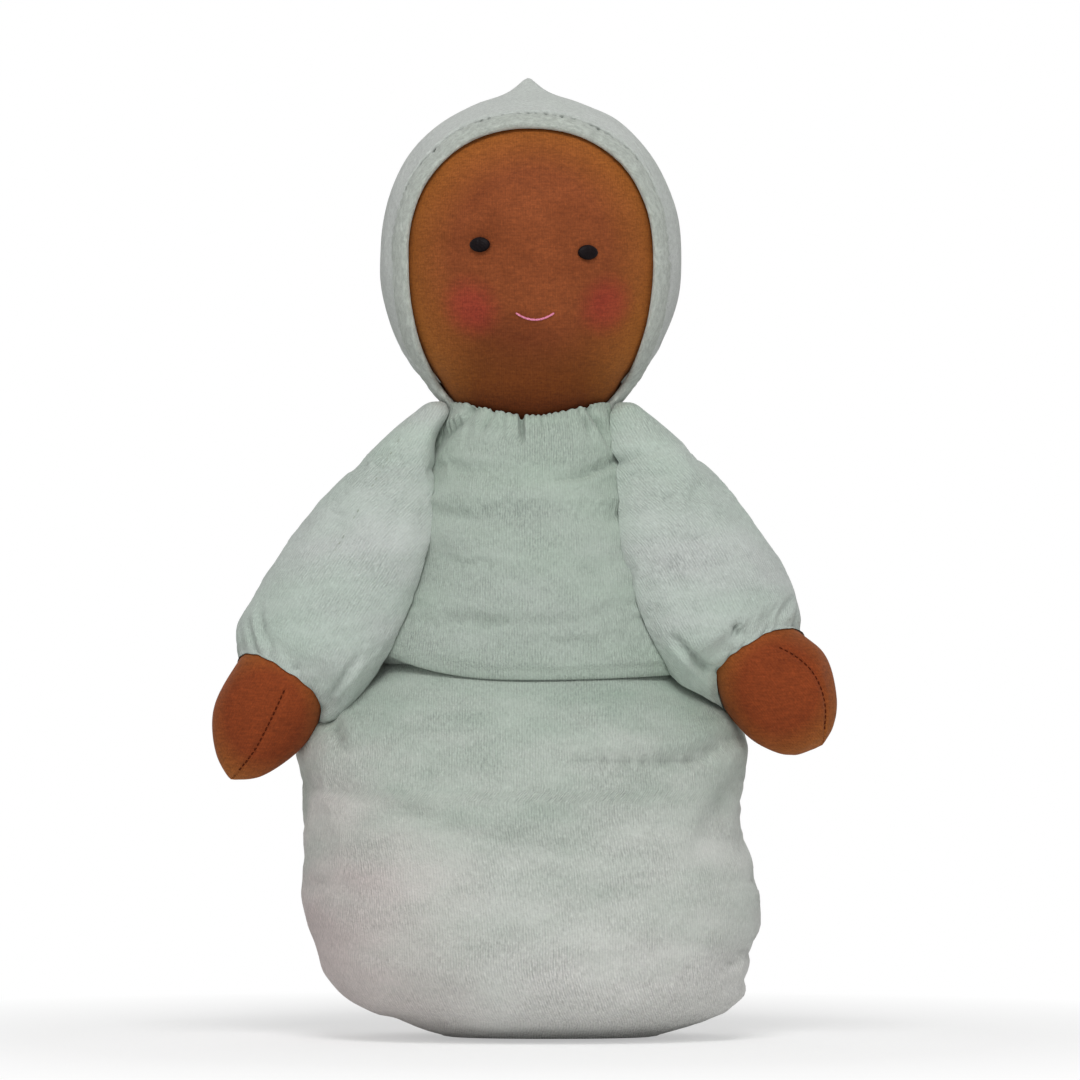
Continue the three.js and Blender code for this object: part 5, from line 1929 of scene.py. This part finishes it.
        along, cuff_place = plan.arm_frame(self.side)[2], plan.cuff(self.side)
        start, end = (tuple((cuff_place + along * at) * MM) for at in (-14, 9))
        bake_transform(made)
        if self.side is Side.LEFT:
            return [made]
        return [made, self.seam(points)]

    def clear_of_hand(self, points: Array, gap: Array, hugging: Array) -> Array:
        """Move cloth that lies in the hand out of it, away from the hand's axis, until it has the gap.

        Args:
            points: The sleeve's grid.
            gap: Distance to keep from the hand, a row at a time.
            hugging: Rows that lie at this distance all round, also where they would stand off.

        Returns:
            The moved grid.
        """
        wrist = self.plan.wrist(self.side)
        out, front, along = self.plan.hand_frame(self.side)
        at, x, y = ((points - wrist) @ way for way in (along, out, front))
        wide_out, wide_in, deep = self.hand_sizes(at)
        wide = np.where(x > 0, wide_out, wide_in) + gap
        share = (np.abs(x / wide) ** 2.1 + np.abs(y / (deep + gap)) ** 2.1) ** (1 / 2.1)
        moving = ((share < 1) | hugging) & (at > -9)
        grow = np.where(moving, 1 / np.maximum(share, 0.5), 1.0)[..., None]
        return wrist + along * at[..., None] + (out * x[..., None] + front * y[..., None]) * grow

    def seam(self, points: Array) -> Piece:
        """Lay a line of running stitches down the sleeve's front.

        Each stitch sits on the grid point of the front that lies nearest to it as seen from the front.

        Args:
            points: The sleeve's grid.

        Returns:
            The stitches.
        """
        start, end = self.seam_line
        length = math.dist(start, end)
        share = np.arange(0.5, length, 2.6) / length
        place = np.asarray(start) + np.outer(share, np.subtract(end, start))
        normal = grid_normals(points)
        front = normal[..., 1] < -0.2
        facing, ups = points[front], normal[front]
        apart = facing[None, :, [0, 2]] - [self.plan.middle, 0] - place[:, None]
        nearest = np.hypot(apart[..., 0], apart[..., 1]).argmin(axis=1)
        centre, up = facing[nearest], ups[nearest]
        centre[:, [0, 2]] = place + [self.plan.middle, 0]
        way = np.gradient(centre, axis=0)
        way = unit(way - (way * up).sum(-1, keepdims=True) * up)
        made = capsules(centre - up * 0.06, way, up, (1.3, 0.2), f"{self.side.value}_sleeve_stitches")
        dress(made, self.wardrobe.velour_thread)
        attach(made, f"{self.side.value}_arm")
        return made

    def hand_sizes(self, at: Array) -> tuple[Array, Array, Array]:
        """Half widths of the hand outwards and inwards, and its half depth, at places along it.

        Args:
            at: Places along the hand, from the wrist's centre.

        Returns:
            The three sizes at each place.
        """
        tables = (self.hand_outer_right, self.hand_inner_right)
        if self.side is Side.LEFT:
            tables = (self.hand_outer_left, self.hand_inner_left)
        wide_out, wide_in = (smooth_table(at, self.hand_places, table) for table in tables)
        plump = smooth_table(at, (-15.4, -8, 0, 8, 20, 42.4), (1.0, 1.02, 1.09, 1.03, 0.88, 0.84))
        return wide_out, wide_in, (wide_out + wide_in) / 2 * plump

    def hand(self) -> list[Piece]:
        """Build the mitten hand and the dashes of its seam.

        A row is an oval of power 2.1 whose half width differs outwards and inwards.

        Returns:
            The hand and its seam.
        """
        name, wrist = self.side.value, self.plan.wrist(self.side)
        out, front, along = self.plan.hand_frame(self.side)
        first, last = self.hand_places[0], self.hand_places[-1]
        angle = turns(self.hand_columns)
        at = np.concatenate([np.linspace(first, 36, 38), np.linspace(37, last, 9)])
        wide_out, wide_in, deep = self.hand_sizes(at)
        cos, sin = squared(np.cos(angle), 2.1), squared(np.sin(angle), 2.1)
        across = np.where(cos > 0, wide_out[:, None], wide_in[:, None]) * cos
        points = (
            wrist
            + along * at[:, None, None]
            + out * across[..., None]
            - front * (deep[:, None] * sin)[..., None]
        )
        normal = grid_normals(points)
        seam = self.seam_columns(at)
        past, half = np.arange(self.hand_columns) - seam[:, None], self.hand_columns // 2
        apart = np.abs((past + half) % self.hand_columns - half)
        back = np.abs(past % self.hand_columns - half)
        beyond = ease(at, 2, 10)[:, None]
        lift = -0.75 * bell(apart, 0.9) * beyond + 0.35 * bell(apart, 3.0) * beyond
        lift -= 0.45 * bell(back, 0.9) * beyond
        lift += 0.35 * ripple(points, 16, 51) * beyond
        points = points + normal * lift[..., None]
        start, end = wrist + along * (first - 0.2), wrist + along * (last + 0.5)
        made = Shell(points, start, end).finer().build(f"{name}_hand_jersey")
        dress(made, self.wardrobe.hand_jersey[self.side])
        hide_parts(f"{name}_hand_skin", f"{name}_hand_wool")
        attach(made, f"{name}_hand")
        return [made, self.hand_stitches(points, normal, at, seam)]

    def seam_columns(self, at: Array) -> Array:
        """Column at which the hand's visible seam runs, for places along the hand.

        Args:
            at: Places along the hand, from the wrist's centre.

        Returns:
            A column, with its fraction, for each place.
        """
        if self.side is Side.RIGHT:
            return smooth_table(at, (-16, 5, 20, 32, 43), (58, 58.5, 58, 57.5, 58))
        return smooth_table(at, (-16, 0, 12, 24, 34, 43), (62, 64, 67.5, 69, 68.5, 64.5))

    def hand_stitches(self, points: Array, normal: Array, at: Array, seam: Array) -> Piece:
        """Lay short stitches along the hand's seam.

        Args:
            points: The hand's grid.
            normal: Its normals.
            at: Places of its rows along the hand.
            seam: Column of the seam in each row.

        Returns:
            The stitches.
        """
        row = np.arange(len(at))
        low = np.floor(seam).astype(int) % self.hand_columns
        part = (seam % 1)[:, None]
        line = points[row, low] * (1 - part) + points[row, (low + 1) % self.hand_columns] * part
        out = normal[row, low]
        keep = (at > 6) & (at < 40)
        line, out = line[keep], out[keep]
        length = running(np.linalg.norm(np.diff(line, axis=0), axis=1))
        places = np.arange(0.6, length[-1], 2.1)
        centre, up = (
            together(*(np.interp(places, length, column) for column in table.T)) for table in (line, out)
        )
        way = unit(np.gradient(centre, axis=0))
        made = capsules(centre + up * 0.06, way, up, (1.5, 0.3), f"{self.side.value}_hand_stitches")
        dress(made, self.wardrobe.brown_thread)
        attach(made, f"{self.side.value}_hand")
        return made

    def shoulder_stitches(self) -> Piece:
        """Build the bundle of stitches that holds the sleeve at the neck.

        Returns:
            The stitches.
        """
        name = self.side.value
        centre = self.plan.shoulder(self.side)
        shift = np.linspace(-1.1, 1.1, 5)
        centres = centre + together(0.0, shift, 0.25 * np.cos(shift * 3))
        ways = unit(np.tile(np.array([[self.side.sign, 0.0, 0.15]]), (5, 1)))
        ups = np.tile(np.array([[0.0, 0.0, 1.0]]), (5, 1))
        made = capsules(centres, ways, ups, (3.4, 0.4), f"{name}_shoulder_thread")
        dress(made, self.wardrobe.white_thread)
        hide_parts(f"{name}_shoulder_stitches")
        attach(made, f"{name}_shoulder")
        return made

    def build(self) -> list[Piece]:
        """Build the arm's pieces and return them."""
        return [*self.sleeve(), *self.hand(), self.shoulder_stitches()]


# Hidden pieces and stage


def dress_hidden(frame: dict[str, object], wardrobe: Wardrobe) -> None:
    """Give the frame's own small pieces inside the neck and the cuffs their finishes.

    Args:
        frame: The loaded frame.
        wardrobe: The finishes.
    """
    threads = ("neck_tie", "neck_gather_thread", "left_cuff_thread", "right_cuff_thread")
    finishes = {"neck_core": wardrobe.gauze, **{name: wardrobe.white_thread for name in threads}}
    for name, material in finishes.items():
        frame["nodes"][name].material_slots[0].material = material


@dataclass
class Studio:
    """Plain pale floor, soft lamps, a white surround and the camera."""

    centre: tuple[float, float, float] = (0.0059, 0.0, 0.1764)
    width: float = 0.3834
    lens: float = 300.0
    shadow_reach: float = 0.34

    def floor(self) -> None:
        """Build a wide white floor that keeps the doll's shadow."""
        data = bpy.data.meshes.new("floor")
        corners = np.array([[-6, -6, 0], [6, -6, 0], [6, 6, 0], [-6, 6, 0]], float) - [0, 0, 0.0004]
        data.from_pydata(corners.tolist(), [], [[0, 1, 2, 3]])
        obj = add_object("floor", data)
        made, n, shader = new_material("white_floor")
        place = n.add("ShaderNodeTexCoord").outputs["Object"]
        rough = n.ramp(n.noise(place, 40.0), 0.3, 0.7, 0.93, 0.97)
        n.feed(shader, {"Base Color": (0.98, 0.98, 0.98, 1), "Roughness": rough, "Specular IOR Level": 0.0})
        far = n.add("ShaderNodeVectorMath", {0: place}, operation="LENGTH").outputs["Value"]
        white = n.add("ShaderNodeEmission", {"Color": (1, 1, 1, 1), "Strength": 1.0})
        fade = n.ramp(far, self.shadow_reach / 2, self.shadow_reach, 0.45, 1.0)
        share = n.times(fade, n.seen())
        mixed = n.add("ShaderNodeMixShader", {0: share, 1: shader.outputs[0], 2: white.outputs[0]})
        n.feed(made.node_tree.nodes["Material Output"], {"Surface": mixed.outputs[0]})
        data.materials.append(made)

    def world(self) -> None:
        """Light the room evenly, and show white to the camera, in gloss and through glass."""
        world = bpy.data.worlds.new("studio")
        world.use_nodes = True
        n = Nodes(world.node_tree)
        back = world.node_tree.nodes["Background"]
        n.feed(back, {"Color": (1, 1, 1, 1), "Strength": n.ramp(n.seen(), 0.0, 1.0, 0.38, 1.0)})
        bpy.context.scene.world = world

    def lamp(self, name: str, place: tuple[float, float, float], size: float, power: float) -> None:
        """Add a soft square lamp that points at the doll.

        Args:
            name: The lamp's name.
            place: Its place in metres.
            size: Length of its sides in metres.
            power: Its power in watts.
        """
        data = bpy.data.lights.new(name, "AREA")
        data.size, data.energy = size, power
        obj = add_object(name, data)
        obj.location = place
        obj.rotation_euler = (Vector(self.centre) - Vector(place)).to_track_quat("-Z", "Y").to_euler()

    def camera(self) -> None:
        """Place the camera level with the doll's middle, at the distance that gives the view's width."""
        data = bpy.data.cameras.new("camera")
        data.lens = self.lens
        distance = self.width * self.lens / data.sensor_width
        obj = add_object("camera", data)
        obj.location = (self.centre[0], -distance, self.centre[2])
        obj.rotation_euler = (math.pi / 2, 0, 0)
        bpy.context.scene.camera = obj

    def build(self) -> None:
        """Build the stage."""
        self.floor()
        self.world()
        self.lamp("key_lamp", (0.0, -1.0, 1.25), 0.6, 11.5)
        self.lamp("fill_lamp", (0.1, -1.6, 0.16), 1.0, 4.8)
        self.lamp("top_lamp", (0.0, 0.8, 1.4), 1.2, 3.0)
        self.camera()
        bpy.context.scene.view_settings.view_transform = "Standard"


def main() -> None:
    """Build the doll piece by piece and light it."""
    logging.basicConfig(level=logging.INFO, format="%(message)s")
    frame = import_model()
    plan = Plan()
    Studio().build()
    wardrobe = make_wardrobe(plan)
    dress_hidden(frame, wardrobe)
    body = [Sack(plan, wardrobe), Bodice(plan, wardrobe), Head(plan, wardrobe)]
    arms = [Arm(plan, wardrobe, side) for side in Side]
    for part in body + arms:
        for piece in part.build():
            LOG.info("%s: %s, %d faces", type(part).__name__, piece.name, len(piece.data.polygons))


if __name__ == "__main__":
    main()
